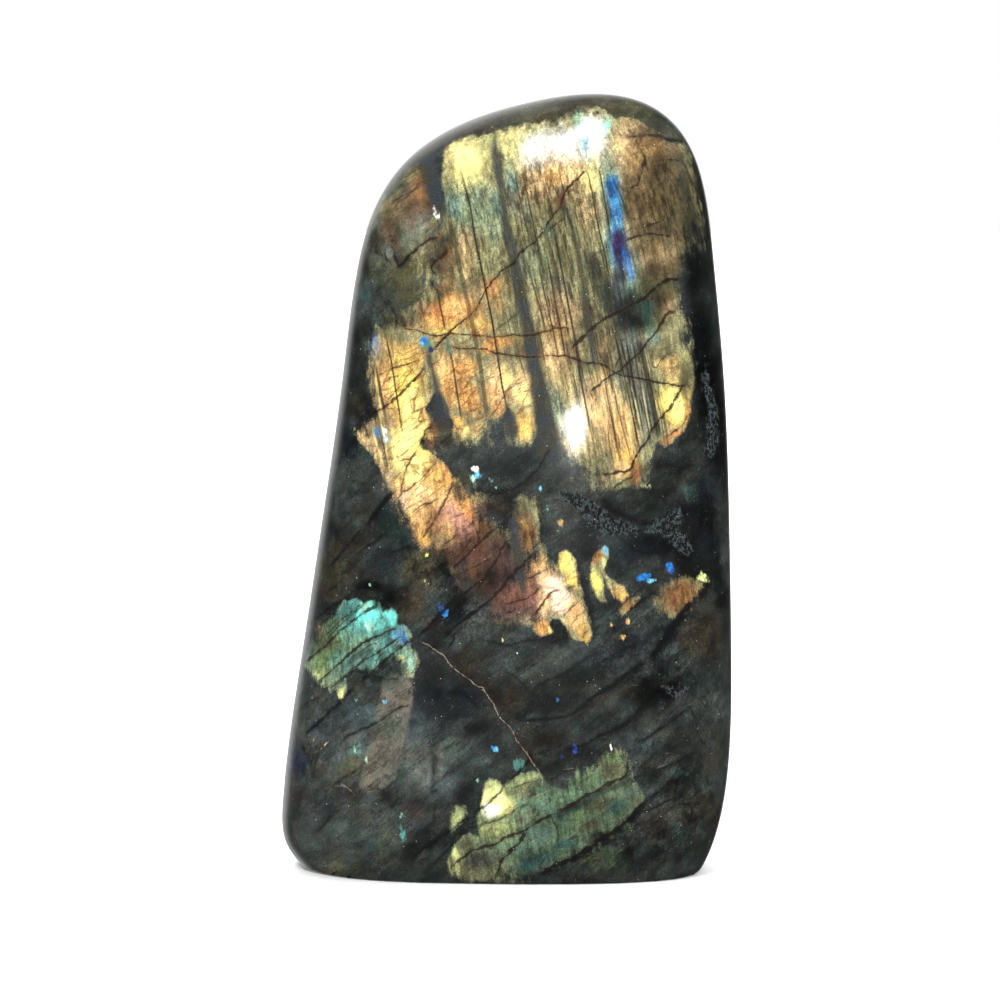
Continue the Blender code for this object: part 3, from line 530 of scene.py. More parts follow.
# Bands of colour over the flash: colour, half width, strength, points.
FLASH_BANDS = (
    ("verdigris", 15, 0.65, ((609, 172), (613, 215), (619, 255), (628, 285))),
    ("teal", 10, 0.6, ((612, 180), (616, 212), (618, 234))),
    ("azure", 8, 0.85, ((612, 182), (614, 196), (617, 216))), ("navy", 4, 0.7, ((613, 190), (614, 197))),
    ("sky", 5, 0.6, ((616, 200), (618, 216))), ("cobalt", 6, 0.5, ((616, 212), (618, 226))),
    ("sky", 6, 0.8, ((616, 222), (618, 232))), ("cobalt", 11, 0.85, ((618, 238), (620, 256))),
    ("plum", 8, 0.9, ((618, 238), (619, 250))), ("navy", 10, 0.8, ((618, 256), (620, 276))),
    ("azure", 4, 0.6, ((626, 252), (631, 278))), ("slate", 9, 0.85, ((617, 276), (620, 300), (624, 322))),
    ("teal", 5, 0.6, ((610, 236), (609, 250), (612, 264))), ("sky", 7, 0.8, ((583, 142), (586, 156))),
    ("cobalt", 3, 0.8, ((586, 146), (588, 151))), ("aqua", 4, 0.7, ((604, 118), (607, 130))),
    ("aqua", 4, 0.5, ((579, 114), (580, 122))), ("dusk", 5, 0.5, ((562, 188), (562, 206), (568, 222))),
    ("ink_green", 5, 0.75, ((560, 816), (572, 809), (590, 799), (606, 791), (622, 784))),
    ("dusk", 4, 0.5, ((596, 792), (612, 787), (626, 780))),
    ("ink_green", 4, 0.7, ((346, 664), (358, 656), (370, 650))),
    ("teal", 4, 0.5, ((362, 646), (380, 638), (396, 630))),
    ("ink_green", 5, 0.8, ((378, 604), (384, 606), (386, 602))),
    ("slate", 5, 0.6, ((372, 426), (378, 436), (384, 446))), ("sky", 4, 0.5, ((380, 428), (386, 440))),
    ("teal", 9, 0.6, ((370, 318), (374, 334), (376, 352))),
    ("azure", 6, 0.65, ((371, 332), (374, 340), (376, 348))),
    ("olive", 3, 0.5, ((446, 336), (450, 352), (456, 362))),
)

# Washes of colour over the stone that has no flash, given as those over the flash are.
DULL_WASHES = (
    ("crown", 560, 112, 150, 24, 1), ("crown", 470, 126, 40, 14, 0.8), ("olive", 540, 120, 30, 8, 0.5),
    ("sienna", 548, 121, 18, 5, 0.4), ("moss", 640, 112, 50, 16, 0.9), ("dusk", 664, 124, 24, 14, 0.8),
    ("crown", 676, 146, 24, 16, 0.7), ("dusk", 700, 190, 12, 40, 0.8), ("pitch", 694, 270, 18, 40, 0.95),
    ("ink_blue", 690, 246, 12, 14, 0.6), ("flint", 394, 226, 40, 60, 1), ("olive", 414, 174, 14, 12, 0.9),
    ("khaki", 412, 176, 8, 8, 0.6), ("olive", 398, 190, 8, 14, 0.7), ("bronze", 418, 190, 12, 16, 0.75),
    ("sienna", 408, 206, 12, 14, 0.6), ("camel", 392, 212, 14, 18, 0.8), ("bark", 396, 230, 12, 14, 0.6),
    ("russet", 386, 232, 8, 12, 0.5), ("pewter", 418, 226, 12, 14, 0.8), ("flint", 410, 240, 14, 14, 0.8),
    ("olive", 416, 262, 22, 20, 0.9), ("moss", 398, 276, 30, 22, 0.9), ("dusk", 374, 244, 12, 14, 0.9),
    ("umber", 366, 262, 10, 16, 0.8), ("olive", 380, 268, 9, 7, 0.7), ("coal", 398, 262, 12, 6, 0.6),
    ("moss", 406, 296, 24, 14, 0.8), ("smoke", 384, 300, 18, 18, 0.8), ("steel", 366, 302, 12, 22, 0.8),
    ("sea", 362, 292, 3, 8, 0.4), ("olive", 420, 296, 14, 10, 0.6), ("moss", 390, 320, 16, 8, 0.6),
    ("coal", 356, 350, 16, 30, 0.95), ("pitch", 352, 336, 8, 8, 0.7), ("coal", 352, 396, 26, 30, 0.9),
    ("dusk", 352, 404, 16, 12, 0.8), ("ink_blue", 346, 440, 14, 20, 0.9), ("umber", 362, 432, 8, 8, 0.7),
    ("slate", 344, 508, 16, 16, 0.8), ("bark", 366, 512, 12, 16, 0.8), ("coal", 330, 530, 10, 28, 0.8),
    ("bark", 346, 546, 20, 14, 0.9), ("moss", 330, 572, 20, 20, 0.9), ("bark", 322, 590, 16, 10, 0.8),
    ("umber", 352, 572, 14, 16, 0.7), ("coal", 334, 606, 24, 12, 0.8), ("sienna", 322, 632, 6, 10, 0.6),
    ("ink_green", 392, 524, 22, 24, 0.95), ("slate", 384, 560, 22, 18, 0.9),
    ("ink_green", 404, 544, 14, 12, 0.8), ("pitch", 366, 588, 26, 8, 0.95),
    ("pitch", 392, 596, 16, 12, 0.9), ("bark", 424, 578, 22, 22, 0.9), ("moss", 414, 562, 16, 14, 0.8),
    ("moss", 434, 556, 16, 12, 0.7), ("bark", 412, 606, 18, 20, 0.9), ("ink_green", 446, 566, 12, 12, 0.6),
    ("smoke", 450, 588, 20, 14, 0.8), ("coal", 462, 598, 18, 10, 0.7), ("ink_blue", 452, 614, 20, 16, 0.8),
    ("steel", 470, 606, 8, 8, 0.5), ("mauve", 432, 622, 10, 8, 0.3), ("coal", 436, 640, 16, 12, 0.8),
    ("smoke", 486, 622, 24, 14, 0.9), ("moss", 512, 622, 16, 8, 0.6), ("ink_blue", 444, 700, 44, 26, 0.95),
    ("slate", 456, 706, 26, 14, 0.6), ("coal", 430, 672, 20, 20, 0.8), ("bark", 470, 660, 20, 14, 0.8),
    ("smoke", 490, 652, 24, 14, 0.7), ("bark", 510, 698, 16, 16, 0.9), ("umber", 492, 690, 8, 14, 0.6),
    ("slate", 362, 716, 30, 18, 0.95), ("steel", 372, 712, 8, 14, 0.6), ("slate", 322, 720, 16, 14, 0.8),
    ("umber", 318, 694, 12, 6, 0.8), ("slate", 352, 750, 22, 12, 0.7), ("teal", 356, 752, 10, 8, 0.4),
    ("moss", 350, 768, 20, 12, 0.7), ("dusk", 322, 770, 12, 12, 0.8), ("bark", 308, 750, 8, 10, 0.7),
    ("navy", 297, 762, 8, 16, 0.7), ("slate", 302, 776, 10, 12, 0.7), ("umber", 300, 796, 10, 12, 0.8),
    ("slate", 328, 796, 16, 16, 0.9), ("bark", 350, 800, 14, 8, 0.6), ("slate", 302, 824, 10, 14, 0.6),
    ("slate", 362, 842, 22, 18, 0.7), ("ash", 362, 832, 10, 10, 0.4), ("fern", 386, 842, 8, 14, 0.3),
    ("moss", 346, 868, 40, 8, 0.8), ("ash", 374, 800, 14, 12, 0.5), ("umber", 384, 798, 10, 12, 0.7),
    # The dust wash at x 392, y 730 lightens the pale strip that the first of the panes paints: painted
    # reflection.
    ("dust", 392, 730, 18, 40, 0.3), ("steel", 418, 738, 14, 14, 0.7), ("slate", 416, 720, 12, 10, 0.6),
    ("ash", 420, 768, 20, 22, 0.9), ("steel", 440, 790, 22, 12, 0.8), ("flint", 446, 748, 22, 10, 0.6),
    ("smoke", 470, 752, 22, 14, 0.8), ("coal", 476, 730, 20, 8, 0.7), ("smoke", 400, 790, 14, 10, 0.6),
    ("mauve", 412, 812, 12, 10, 0.3), ("coal", 424, 838, 18, 16, 0.9), ("pitch", 412, 850, 14, 8, 0.8),
    ("ash", 480, 784, 8, 6, 0.3), ("coal", 466, 796, 12, 16, 0.7), ("coal", 550, 708, 26, 12, 0.9),
    ("pitch", 524, 716, 14, 6, 0.6), ("umber", 548, 740, 24, 10, 0.9), ("bark", 530, 730, 10, 6, 0.5),
    ("coal", 580, 752, 24, 10, 0.9), ("ink_green", 556, 768, 22, 8, 0.8), ("slate", 568, 698, 22, 8, 0.9),
    ("ink_green", 580, 680, 24, 8, 0.8), ("coal", 576, 672, 18, 6, 0.6), ("slate", 600, 706, 14, 12, 0.7),
    ("slate", 612, 724, 16, 8, 0.5), ("umber", 632, 692, 18, 10, 0.7), ("ash", 556, 656, 26, 10, 0.7),
    ("steel", 576, 652, 22, 12, 0.8), ("steel", 600, 658, 24, 12, 0.8), ("steel", 562, 508, 20, 14, 0.2),
    ("slate", 630, 646, 24, 14, 0.9), ("ash", 642, 614, 20, 12, 0.5), ("smoke", 602, 640, 20, 10, 0.6),
    ("coal", 590, 548, 12, 24, 0.9), ("coal", 586, 590, 6, 30, 0.8), ("ink_green", 618, 572, 12, 14, 0.8),
    ("ink_blue", 640, 548, 40, 14, 0.95), ("coal", 668, 544, 22, 10, 0.8), ("slate", 622, 540, 12, 10, 0.5),
    ("smoke", 566, 528, 24, 16, 0.9), ("smoke", 586, 544, 16, 8, 0.5), ("smoke", 562, 490, 26, 14, 0.9),
    ("flint", 556, 520, 12, 8, 0.3), ("coal", 616, 506, 24, 10, 0.9), ("ink_green", 640, 508, 22, 12, 0.8),
    ("smoke", 636, 500, 16, 8, 0.6), ("coal", 660, 492, 20, 14, 0.8), ("coal", 668, 466, 20, 14, 0.8),
    ("ink_green", 650, 478, 14, 8, 0.6), ("teal", 688, 494, 4, 12, 0.6), ("navy", 686, 512, 6, 12, 0.6),
    # The pitch washes down the right edge, x 694 to 712, darken it to near black: painted shade of the side
    # that turns away from the light.
    ("ink_blue", 704, 486, 16, 24, 0.9), ("pitch", 712, 400, 16, 80, 0.95),
    ("ink_blue", 702, 340, 14, 30, 0.7), ("ink_green", 696, 430, 10, 20, 0.8),
    ("pitch", 706, 320, 12, 30, 0.7), ("pitch", 712, 520, 14, 30, 0.7), ("ink_blue", 704, 544, 14, 18, 0.8),
    ("coal", 718, 580, 10, 40, 0.8), ("slate", 496, 468, 24, 20, 0.9), ("ink_green", 520, 466, 20, 20, 0.8),
    # The ash washes at x 556, y 452 and x 550, y 508, below and left of the window's glint, lighten the dull
    # stone there: partly its own grey and partly painted glow round the glint.
    ("steel", 546, 392, 10, 16, 0.6), ("ash", 556, 452, 14, 22, 0.7), ("moss", 444, 436, 10, 12, 0.7),
    ("sienna", 430, 436, 7, 18, 0.9), ("russet", 432, 424, 5, 10, 0.6), ("umber", 500, 506, 16, 14, 0.9),
    ("coal", 496, 514, 12, 8, 0.6), ("smoke", 480, 498, 12, 8, 0.6), ("moss", 464, 480, 10, 12, 0.7),
    ("ash", 550, 508, 12, 18, 0.6), ("ink_green", 552, 486, 14, 8, 0.6), ("bark", 700, 630, 22, 30, 0.9),
    ("umber", 684, 640, 10, 12, 0.6), ("olive", 694, 650, 10, 10, 0.7), ("coal", 712, 660, 14, 16, 0.6),
    ("umber", 716, 640, 10, 30, 0.6), ("ink_green", 700, 682, 22, 16, 0.8), ("ash", 712, 702, 12, 16, 0.5),
    ("pitch", 668, 690, 22, 10, 0.95), ("pitch", 660, 664, 12, 10, 0.6), ("ink_blue", 668, 668, 10, 8, 0.6),
    ("smoke", 620, 700, 18, 8, 0.5), ("ash", 656, 736, 34, 12, 0.9), ("smoke", 690, 724, 24, 14, 0.8),
    ("slate", 632, 744, 20, 12, 0.8), ("ash", 706, 744, 14, 12, 0.5), ("coal", 650, 772, 14, 12, 0.7),
    ("teal", 676, 772, 10, 7, 0.4), ("bark", 706, 764, 16, 14, 0.6), ("bark", 684, 806, 30, 20, 0.85),
    ("umber", 660, 826, 24, 18, 0.8), ("dust", 700, 806, 16, 12, 0.3), ("teal", 676, 822, 4, 20, 0.45),
    ("umber", 712, 820, 10, 24, 0.7), ("umber", 690, 846, 22, 12, 0.7), ("coal", 668, 862, 30, 12, 0.85),
    ("fern", 600, 856, 26, 8, 0.6), ("olive", 592, 858, 12, 6, 0.5), ("ink_green", 634, 846, 16, 12, 0.7),
    ("coal", 600, 876, 50, 7, 0.8), ("coal", 520, 880, 60, 4, 0.7),
)

# Shadows over the stone that has no flash, given as those over the flash are.
DULL_SHADES = (
    (500, 480, 50, 40, 0.2), (355, 430, 26, 90, 0.25), (350, 570, 50, 50, 0.3), (560, 670, 80, 40, 0.35),
    # The shadows at x 702 to 716 run down the right edge: painted shade of the side that turns away from the
    # light.
    (670, 530, 50, 40, 0.6), (708, 390, 20, 130, 0.8), (702, 225, 14, 90, 0.6), (684, 755, 50, 50, 0.35),
    (690, 830, 50, 40, 0.25), (470, 700, 50, 60, 0.2), (640, 640, 40, 40, 0.15), (600, 530, 40, 26, 0.3),
    (340, 735, 50, 60, -0.65), (425, 745, 40, 50, -0.45), (350, 835, 70, 34, -0.5),
    (404, 230, 36, 56, -0.4), (470, 620, 60, 30, -0.15), (520, 660, 60, 30, -0.2),
    (424, 762, 30, 26, -0.35), (470, 758, 26, 14, -0.35), (640, 690, 26, 12, 0.4), (602, 722, 22, 12, 0.35),
    (448, 672, 24, 12, 0.25), (690, 640, 26, 24, 0.22), (690, 826, 30, 24, -0.3), (336, 590, 24, 14, -0.35),
    (384, 830, 30, 16, -0.18), (350, 740, 40, 20, -0.12), (672, 806, 24, 16, -0.15), (660, 664, 24, 8, 0.2),
    (350, 560, 22, 14, -0.3), (500, 700, 20, 20, -0.35), (425, 578, 22, 16, -0.18),
    (660, 760, 24, 12, -0.15), (690, 568, 20, 30, 0.82), (656, 690, 34, 24, 0.66), (600, 762, 30, 16, 0.4),
    (690, 450, 14, 24, 0.4), (450, 582, 18, 16, 0.35), (404, 604, 12, 10, 0.5), (548, 735, 24, 14, 0.2),
    (378, 742, 44, 30, -0.32), (425, 780, 44, 20, -0.26), (495, 760, 22, 14, -0.18),
    (332, 866, 24, 12, -0.5), (716, 560, 9, 120, 0.55), (326, 474, 9, 40, 0.52), (356, 700, 20, 22, -0.2),
    (524, 664, 26, 20, -0.38), (612, 648, 24, 18, -0.34),
)

# Bands of colour over the stone that has no flash: colour, half width, strength, points.
DULL_BANDS = (
    ("umber", 9, 0.55, ((452, 656), (476, 676), (498, 700), (512, 720))),
    # The camel band at x 371, y 764 to 786 lies in the pale strip that the first of the panes paints:
    # painted reflection.
    ("camel", 8, 0.35, ((372, 764), (370, 786))), ("umber", 5, 0.8, ((516, 736), (528, 752), (536, 764))),
    ("coal", 5, 0.7, ((434, 745), (434, 790))),
    ("pitch", 8, 0.85, ((654, 656), (664, 642), (678, 622), (694, 604), (708, 588))),
    ("pitch", 6, 0.7, ((604, 692), (624, 680), (640, 668))),
    ("coal", 6, 0.7, ((600, 738), (624, 726), (644, 708), (662, 694))),
    ("umber", 6, 0.6, ((578, 716), (592, 704), (606, 696))), ("pitch", 5, 0.8, ((376, 514), (388, 500))),
    ("coal", 7, 0.7, ((474, 820), (450, 834), (430, 848))),
    ("pitch", 5, 0.7, ((604, 838), (630, 822), (642, 806))),
    ("pitch", 4, 0.6, ((532, 876), (566, 864), (596, 846))),
    ("umber", 5, 0.7, ((466, 600), (450, 612), (432, 628))), ("bark", 6, 0.5, ((340, 592), (326, 598))),
    ("coal", 5, 0.6, ((316, 834), (330, 816), (344, 806))),
    ("coal", 6, 0.8, ((540, 476), (524, 488), (508, 500))), ("coal", 5, 0.7, ((512, 520), (514, 500))),
    ("coal", 5, 0.7, ((576, 560), (590, 600), (594, 630))),
    ("pitch", 4, 0.7, ((604, 500), (612, 512), (632, 520), (650, 522))),
    ("teal", 3, 0.4, ((548, 500), (549, 514))),
)

# Panes with clear edges, laid last: colour, strength, softness of the edge, outline.
DULL_PANES = (
    # The first pane, the pale strip down the lower left, is painted reflection: the soft reflection of
    # something in front of the stone, laid into its colour.
    ("milk", 0.85, 1.6, ((383, 678), (396, 673), (412, 681), (413, 700), (399, 765), (395, 780), (386, 788),
     (370, 792), (359, 788), (362, 770), (370, 742), (376, 715))),
    ("ash", 0.35, 3, ((404, 752), (418, 726), (436, 718), (444, 740), (434, 764), (430, 790), (414, 802),
     (400, 790))),
    ("flint", 0.3, 3, ((316, 836), (336, 812), (366, 806), (384, 826), (372, 850), (330, 856))),
    ("slate", 0.35, 2.4, ((306, 726), (322, 712), (346, 704), (352, 724), (338, 744), (312, 752))),
)

# Small bright sparks over everything: colour, x, y, reach across and along, strength.
SPARKS = (
    ("teal", 426, 345, 7, 9, 0.75), ("azure", 424, 341, 4.5, 5, 0.9), ("sky", 422, 343, 2, 3, 0.95),
    ("navy", 430, 350, 3.5, 5, 0.85), ("verdigris", 447, 340, 4, 8, 0.8), ("teal", 450, 352, 4, 6, 0.7),
    ("azure", 376, 432, 5, 7, 0.7), ("snow", 385, 434, 3, 10, 0.7), ("navy", 392, 438, 1.5, 4, 0.7),
    ("snow", 475, 469, 4, 4, 1), ("sky", 478, 475, 6, 4, 0.9), ("mint", 472, 478, 4, 5, 0.7),
    ("verdigris", 490, 482, 3, 8, 0.6), ("mint", 496, 488, 2, 3, 0.6), ("sky", 540, 488, 2, 5, 0.7),
    ("mint", 548, 507, 4, 4, 0.6), ("ochre", 560, 523, 4, 4, 0.8), ("azure", 644, 577, 9, 4, 1),
    ("azure", 640, 576, 4, 3, 0.8), ("sky", 652, 581, 5, 3, 0.9), ("azure", 670, 567, 5, 5, 0.9),
    ("cobalt", 672, 570, 4, 4, 0.8), ("cobalt", 638, 564, 4, 3, 0.5), ("lime", 706, 577, 5, 6, 1),
    ("snow", 706, 575, 3, 3, 0.9), ("azure", 706, 541, 3, 4, 0.5), ("azure", 444, 612, 5, 6, 1),
    ("sky", 446, 612, 3, 4, 0.9), ("cobalt", 440, 607, 6, 5, 0.5), ("sky", 495, 750, 4, 4, 0.7),
    ("azure", 493, 748, 3, 4, 0.7), ("cobalt", 575, 749, 2.5, 6, 1), ("navy", 562, 756, 5, 5, 0.6),
    ("azure", 557, 700, 3, 4, 0.6), ("sky", 657, 872, 4, 5, 0.6), ("sea", 403, 834, 4, 9, 0.8),
    ("mint", 402, 816, 4, 5, 0.5), ("apricot", 318, 742, 4, 6, 0.9), ("peach", 326, 747, 5, 3, 0.7),
    ("snow", 333, 768, 2, 2, 0.9), ("mint", 366, 760, 2, 4, 0.9), ("mint", 355, 749, 4, 5, 0.5),
    ("snow", 611, 747, 1.5, 5, 1), ("teal", 519, 765, 8, 7, 0.9), ("mint", 478, 780, 3, 3, 0.7),
    ("lime", 361, 555, 3, 5, 0.8), ("pear", 343, 587, 4, 4, 0.8), ("mint", 370, 585, 2, 2, 0.9),
    ("sky", 311, 697, 4, 5, 0.5), ("mint", 357, 702, 3, 8, 0.5), ("sky", 385, 702, 3, 3, 0.7),
    ("snow", 437, 216, 4, 4, 0.7), ("flint", 436, 208, 4, 8, 0.8), ("lime", 354, 430, 4, 4, 0.6),
    ("snow", 517, 653, 1.5, 1.5, 0.9), ("lime", 502, 640, 2, 3, 0.7), ("pitch", 597, 113, 5, 2.5, 0.9),
    ("navy", 575, 117, 5, 4, 0.8), ("cobalt", 587, 148, 4, 5, 0.8), ("apricot", 612, 625, 3, 4, 0.7),
    ("apricot", 628, 621, 3, 4, 0.7), ("apricot", 638, 627, 3, 3, 0.6), ("honey", 623, 637, 4, 4, 0.7),
    ("pear", 646, 487, 5, 5, 0.6), ("snow", 486, 560, 3, 3, 0.5), ("lemon", 427, 555, 3, 3, 0.7),
    ("pear", 425, 582, 2, 5, 0.6),
)

# The rough dark inclusion: x, y and half width along it.
ROUGH_INCLUSION = (
    ((562, 495, 4), (578, 501, 7), (592, 512, 10), (606, 525, 11), (622, 527, 7), (640, 532, 3)),
    ((646, 531, 3), (660, 526, 8), (672, 522, 9), (679, 512, 4)),
    ((666, 530, 7), (680, 542, 8), (688, 550, 5)),
    ((700, 362, 4), (706, 384, 4), (712, 410, 5), (713, 440, 6), (708, 456, 4)),
    ((664, 686, 3), (674, 692, 6), (684, 690, 3)),
)

# Where fine twin hairlines show in the flash: x, y, reach across and along, strength.
HAIRLINES = (
    (560, 260, 80, 150, 0.9), (600, 400, 50, 90, 0.8), (640, 400, 30, 70, 1), (470, 230, 34, 70, 0.6),
    (650, 200, 44, 60, 0.45), (400, 410, 40, 90, 0.25), (540, 830, 120, 60, 0.1), (360, 640, 60, 50, 0.2),
)
# Where fine red-brown capillaries show in the flash, given as hairlines are.
CAPILLARIES = (
    (450, 370, 70, 80, 1), (405, 400, 36, 60, 0.95), (500, 400, 40, 50, 0.9), (460, 300, 40, 30, 0.6),
    (550, 330, 30, 50, 0.6), (415, 480, 36, 50, 0.9), (460, 530, 40, 60, 0.35), (500, 580, 40, 50, 0.25),
    (560, 590, 40, 60, 0.6), (630, 150, 60, 40, 0.25), (550, 190, 40, 30, 0.6), (442, 260, 16, 40, 0.9),
)

# Where short loose cracks show: x, y, reach across and along, strength.
SPLITS = (
    (500, 480, 400, 600, 0.35), (400, 250, 50, 90, 0.4), (400, 430, 50, 80, 0.75), (460, 380, 50, 60, 0.6),
    (480, 560, 100, 100, 1), (560, 610, 50, 50, 0.9), (360, 640, 70, 60, 0.9), (540, 830, 130, 60, 0.95),
    (640, 800, 90, 80, 0.9), (640, 640, 80, 80, 0.8), (420, 740, 110, 90, 0.16), (360, 820, 90, 60, 0.2),
    (650, 210, 50, 70, 0.5), (670, 400, 40, 60, 0.5),
)

# ---------------------------------------------------------------- flash on the back

# The back's tables hold what the front's do, as seen through the stone from the front.
BACK_PATCHES = {
    "sea_sheet": (1.6, ((430, 196), (452, 180), (476, 190), (498, 176), (520, 188), (548, 184), (566, 206),
        (584, 232), (590, 268), (604, 300), (608, 344), (618, 388), (612, 430), (620, 468), (604, 492),
        (588, 478), (578, 506), (560, 520), (536, 470), (524, 498), (510, 520), (498, 496), (488, 462),
        (470, 474), (456, 446), (444, 410), (436, 372), (424, 330), (408, 252), (414, 220))),
    "gold_tail": (1.2, ((596, 548), (612, 540), (640, 572), (652, 600), (648, 634), (636, 652), (624, 640),
        (616, 660), (604, 640), (596, 610), (590, 578))),
    "teal_foot": (1.4, ((352, 700), (368, 684), (396, 676), (420, 690), (444, 686), (462, 706), (474, 734),
        (466, 758), (444, 764), (426, 782), (398, 776), (376, 760), (352, 752), (340, 728))),
    "bronze_shelf": (3, ((470, 560), (492, 548), (516, 560), (530, 584), (520, 606), (498, 612), (480, 598),
        (466, 580))),
    "azure_chip": (1, ((560, 700), (574, 690), (586, 704), (580, 724), (566, 728), (556, 716))),
    "green_crown": (2, ((500, 140), (530, 130), (566, 134), (590, 150), (580, 164), (548, 160),
        (516, 158))),
    "leaf_sliver": (1.4, ((640, 300), (652, 310), (660, 350), (664, 396), (656, 420), (646, 390),
        (640, 344))),
}
BACK_VEINS = (
    ((470, 186, 1), (484, 260, 4), (498, 340, 6), (512, 420, 8), (526, 500, 11)),
    ((556, 250, 0), (572, 340, 3), (588, 430, 4), (600, 490, 6)),
    ((440, 230, 0), (456, 320, 3), (470, 400, 2), (480, 450, 4)),
    ((610, 560, 1), (622, 620, 3), (630, 655, 4)),
)


def twin_line(half_width, darkness, x, top, bottom):
    """A thin twin line that leans with the twin planes from top down to bottom."""
    lean = math.tan(LAMELLA_TILT)
    middle = (top + bottom) / 2
    points = ((x, top), (x + lean * (middle - top) + 1, middle), (x + lean * (bottom - top), bottom))
    return half_width, darkness, points


# Half width, darkness, x at the top, top and bottom of each.
BACK_LAMELLAE = [
    twin_line(*line)
    for line in (
        (1.4, 0.85, 428, 214, 400), (0.8, 0.70, 452, 196, 380), (0.6, 0.60, 462, 230, 440),
        (1.0, 0.85, 496, 190, 430), (0.7, 0.70, 508, 196, 460), (1.3, 0.85, 522, 200, 480),
        (0.7, 0.70, 534, 220, 450), (0.9, 0.80, 546, 196, 500), (0.6, 0.60, 560, 300, 470),
        (1.1, 0.80, 570, 230, 470), (0.7, 0.70, 596, 330, 470), (0.9, 0.75, 600, 556, 640),
        (0.6, 0.60, 626, 566, 640), (0.8, 0.70, 392, 690, 770), (0.8, 0.70, 420, 696, 774),
        (0.6, 0.60, 440, 694, 760), (0.7, 0.60, 486, 556, 604),
    )
]
BACK_CRACKS = (
    (1.4, 0.9, ((690, 210), (650, 232), (610, 262), (566, 290), (530, 318), (486, 346), (430, 376))),
    (1.1, 0.85, ((660, 306), (620, 330), (572, 372), (520, 410), (470, 444), (420, 490), (380, 540))),
    (0.9, 0.8, ((640, 400), (606, 424), (540, 482), (500, 500))),
    (1.8, 0.92, ((700, 540), (660, 574), (620, 604), (576, 640), (530, 676), (480, 712), (430, 746))),
    (1.2, 0.85, ((430, 746), (390, 772), (352, 806), (316, 836))),
    (1.4, 0.85, ((696, 690), (650, 712), (600, 738), (510, 796), (456, 838))),
    (0.9, 0.75, ((340, 664), (372, 690), (410, 700), (450, 690), (496, 664))),
    (1, 0.8, ((560, 120), (540, 160), (500, 206), (462, 246), (430, 290))),
    (0.9, 0.75, ((520, 560), (500, 590), (470, 620), (440, 640))),
    (0.8, 0.7, ((640, 560), (622, 590), (600, 620), (590, 650))),
    (0.8, 0.7, ((380, 560), (400, 590), (410, 630), (404, 660))),
    (1, 0.75, ((360, 716), (390, 704), (430, 712), (470, 700))),
    (0.8, 0.7, ((640, 780), (600, 800), (560, 830), (530, 866))),
    (0.8, 0.7, ((450, 200), (480, 230), (500, 270), (536, 300))),
)
BACK_WASHES = (
    ("teal", 500, 330, 130, 190, 1), ("sea", 450, 260, 30, 60, 0.9), ("verdigris", 436, 330, 20, 60, 0.8),
    ("azure", 486, 250, 14, 50, 0.7), ("cobalt", 498, 300, 8, 40, 0.6), ("aqua", 466, 380, 18, 40, 0.8),
    ("sea", 520, 250, 20, 50, 0.8), ("jade", 540, 330, 24, 60, 0.9), ("leaf", 560, 400, 22, 60, 0.8),
    ("sage", 540, 220, 20, 26, 0.8), ("khaki", 572, 250, 16, 40, 0.8), ("straw", 596, 440, 16, 40, 0.9),
    ("gold", 604, 474, 12, 20, 0.8), ("honey", 566, 490, 12, 30, 0.8), ("apricot", 520, 490, 12, 26, 0.7),
    ("olive", 600, 330, 16, 40, 0.7), ("amber", 620, 600, 40, 60, 1), ("gold", 610, 572, 16, 20, 0.8),
    ("copper", 634, 624, 12, 22, 0.7), ("rose", 616, 640, 10, 14, 0.5), ("sea", 410, 724, 80, 60, 1),
    ("azure", 446, 738, 20, 20, 0.7), ("jade", 366, 724, 18, 26, 0.9), ("aqua", 406, 706, 18, 14, 0.8),
    ("leaf", 384, 756, 20, 12, 0.7), ("bronze", 498, 580, 40, 34, 1), ("ochre", 490, 572, 14, 12, 0.7),
    ("azure", 570, 710, 30, 30, 1), ("sky", 572, 702, 8, 8, 0.7), ("olive", 544, 146, 70, 30, 1),
    ("leaf", 560, 146, 20, 10, 0.6), ("leaf", 650, 360, 20, 80, 1), ("straw", 654, 390, 8, 24, 0.7),
)
BACK_SHADES = (
    (520, 300, 40, 60, 0.25), (580, 380, 30, 60, 0.3), (446, 300, 16, 60, 0.2), (498, 580, 34, 34, 0.45),
    (650, 360, 20, 70, 0.35), (544, 146, 60, 24, 0.3), (390, 740, 40, 24, 0.25),
)
BACK_DULL_WASHES = (
    ("coal", 640, 250, 50, 90, 0.8), ("ash", 440, 560, 60, 50, 0.7), ("bark", 380, 500, 50, 70, 0.7),
    ("slate", 520, 640, 60, 60, 0.8), ("dusk", 660, 480, 40, 70, 0.8), ("ash", 620, 760, 60, 50, 0.8),
    ("coal", 450, 650, 50, 40, 0.8), ("ink_green", 340, 620, 40, 60, 0.8), ("steel", 560, 800, 50, 40, 0.6),
    ("umber", 500, 790, 40, 40, 0.6), ("flint", 360, 820, 50, 40, 0.7), ("crown", 560, 126, 120, 26, 0.9),
    ("moss", 400, 300, 30, 80, 0.8), ("ink_blue", 520, 530, 40, 24, 0.8), ("pitch", 560, 850, 90, 20, 0.6),
)
BACK_DULL_BANDS = (
    ("pitch", 7, 0.8, ((700, 540), (620, 604), (530, 676), (430, 746))),
    ("coal", 5, 0.7, ((696, 690), (600, 738), (510, 796))),
    ("dust", 8, 0.4, ((360, 560), (372, 620), (380, 660))),
)
